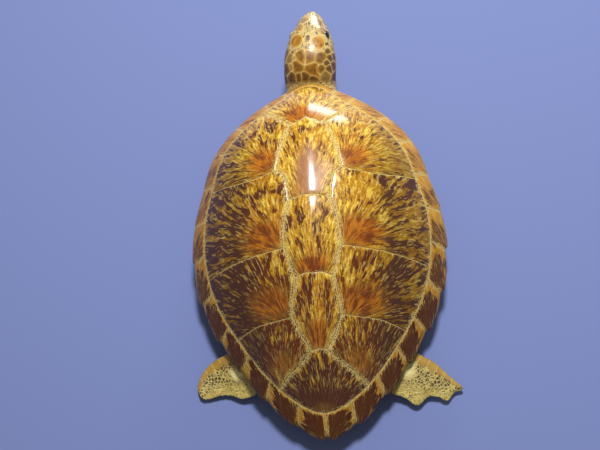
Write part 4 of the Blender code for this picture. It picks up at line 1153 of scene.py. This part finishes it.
shader = add("BsdfPrincipled", {
    "Base Color": base, "Roughness": 0.45, "IOR": 1.52, "Normal": relief,
    "Coat Weight": 0.8, "Coat Roughness": 0.14, "Coat IOR": 1.5,
})
add("OutputMaterial", {"Surface": shader})

profile = [(a, t) for a, t in FLIPPER_PROFILE] + [(a, -t) for a, t in FLIPPER_PROFILE[-2:0:-1]]
for node, table, side, callus_place, seed in (
    ("front_flipper_right", FRONT_FLIPPER, 1, (0, 0), 3.1),
    ("front_flipper_left", FRONT_FLIPPER, -1, (0, 0), 8.7),
    ("hind_flipper_right", HIND_FLIPPER_RIGHT, 1, (0.1285, -0.2473), 5.3),
    ("hind_flipper_left", HIND_FLIPPER_LEFT, 1, (-0.1386, -0.2362), 1.9),
):
    chords = []
    for row in stations(table, 0.0016):
        lead, trail = (Vector((side * x, y, z)) for x, y, z in (row[:3], row[3:6]))
        chords.append((lead, trail, row[6]))
    rings, limb_rows, travelled = [], [], 0.0
    for k, (lead, trail, thickness) in enumerate(chords):
        before, after = chords[max(k - 2, 0)], chords[min(k + 2, len(chords) - 1)]
        span = (after[0] + after[1]) - (before[0] + before[1])
        flat = (trail - lead).cross(span).normalized()
        if k:
            travelled += (lead - chords[k - 1][0]).length
        ring = []
        for along, out in profile:
            point = (lead + trail) / 2 + (trail - lead) * along
            cockle = noise.noise(point * 60 + Vector((seed, 0, 0))) * COCKLE
            cockle *= smooth_step(-0.1, 0.5, along)
            ragged = noise.noise(Vector((travelled * 130, seed, 0.0))) * RAGGEDNESS
            ragged *= smooth_step(0.3, 0.5, along)
            point += flat * (thickness * out + cockle) - (trail - lead).normalized() * abs(ragged)
            ring.append(point)
            near = hypot(point.x - callus_place[0], point.y - callus_place[1])
            patch = (1 - smooth_step(0.007, 0.014, near)) * (1.0 if flat.z * out > 0 else 0.0)
            limb_rows.append((along + 0.5, travelled / LEADING_SCALE, patch))
        rings.append(ring)
    bm = loft(rings)
    flipper = make_piece(node + "_piece", bm, leather)
    write_layer(flipper.data, "POINT", "limb", np.array(limb_rows))
    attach(flipper, "root")
    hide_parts(node)

# ------------------------------------------------------------------ tail
# The short tail, a cone of the body's dried skin that hangs just inside the last marginals.

TAIL_POINTS = 48
# By sections: distance along Y, height of the middle, radius.
TAIL_SECTIONS = (
    (-0.262, 0.030, 0.0215), (-0.285, 0.028, 0.0190), (-0.310, 0.023, 0.0142), (-0.328, 0.017, 0.0092),
    (-0.335, 0.0135, 0.0055), (-0.3365, 0.013, 0.0010),
)
rings = []
for y, z, radius in stations(TAIL_SECTIONS, 0.0015):
    ring = []
    for k in range(TAIL_POINTS):
        turn = 2 * pi * k / TAIL_POINTS
        crease = 1.0 + 0.03 * noise.noise(Vector((cos(turn) * 1.5, y * 160, sin(turn) * 1.5)))
        ring.append(Vector((radius * cos(turn) * crease, y, z + 0.8 * radius * sin(turn) * crease)))
    rings.append(ring)
tail = make_piece("tail_piece", loft(rings), hide)
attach(tail, "root")
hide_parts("tail")

# ------------------------------------------------------------------ studio
# A pale floor, soft light from above and in front, and a camera that looks down as the photo's did.

bm = bmesh.new()
bmesh.ops.create_grid(bm, x_segments=1, y_segments=1, size=6.0)
paper, add = new_material("pale_paper")
shader = add("BsdfPrincipled", {"Base Color": "#6a77a8", "Roughness": 0.9})
add("OutputMaterial", {"Surface": shader})
floor = make_piece("studio_floor", bm, paper)

world = bpy.data.worlds.new("studio")
world.use_nodes = True
glow = world.node_tree.nodes["Background"].inputs
glow["Color"].default_value = (1.0, 0.97, 0.90, 1.0)
glow["Strength"].default_value = 0.24
bpy.context.scene.world = world
bpy.context.scene.view_settings.view_transform = "Standard"


def softbox(name, place, target, size, power):
    """A rectangular soft light facing a point."""
    light = bpy.data.lights.new(name, "AREA")
    light.shape, light.size, light.size_y = "RECTANGLE", *size
    light.energy = power
    lamp = bpy.data.objects.new(name, light)
    facing = (Vector(target) - Vector(place)).to_track_quat("-Z", "Y").to_matrix().to_4x4()
    lamp.matrix_world = Matrix.Translation(place) @ facing
    bpy.context.scene.collection.objects.link(lamp)


softbox("key_softbox", (0.28, 1.00, 2.50), (0, 0, 0.2), (0.40, 0.46), 88)
softbox("front_window", (0.50, 2.40, 0.46), (0, 0.05, 0.15), (1.0, 0.55), 31)

# The camera looks down at the back, tilted and slightly rolled as in the photograph.
CAMERA_PLACE = Vector((0.11519, -0.51125, 1.69006))
TIPPED_SIDEWAYS, TIPPED_BACK, ROLL = radians(5), radians(17), radians(2.31)
FOCAL_PIXELS, PHOTO_WIDTH_PIXELS = 1081.783, 600
SENSOR_WIDTH = 36.0
toward = Vector((tan(TIPPED_SIDEWAYS), -tan(TIPPED_BACK), 1.0)).normalized()
up = (Vector((0, 1, 0)) - toward * toward.y).normalized()
right = up.cross(toward)
right, up = right * cos(ROLL) - up * sin(ROLL), right * sin(ROLL) + up * cos(ROLL)
camera_data = bpy.data.cameras.new("camera")
camera_data.sensor_width = SENSOR_WIDTH
camera_data.lens = FOCAL_PIXELS / PHOTO_WIDTH_PIXELS * SENSOR_WIDTH
camera = bpy.data.objects.new("camera", camera_data)
axes = Matrix((right, up, toward)).transposed().to_4x4()
camera.matrix_world = Matrix.Translation(CAMERA_PLACE) @ axes
bpy.context.scene.collection.objects.link(camera)
bpy.context.scene.camera = camera
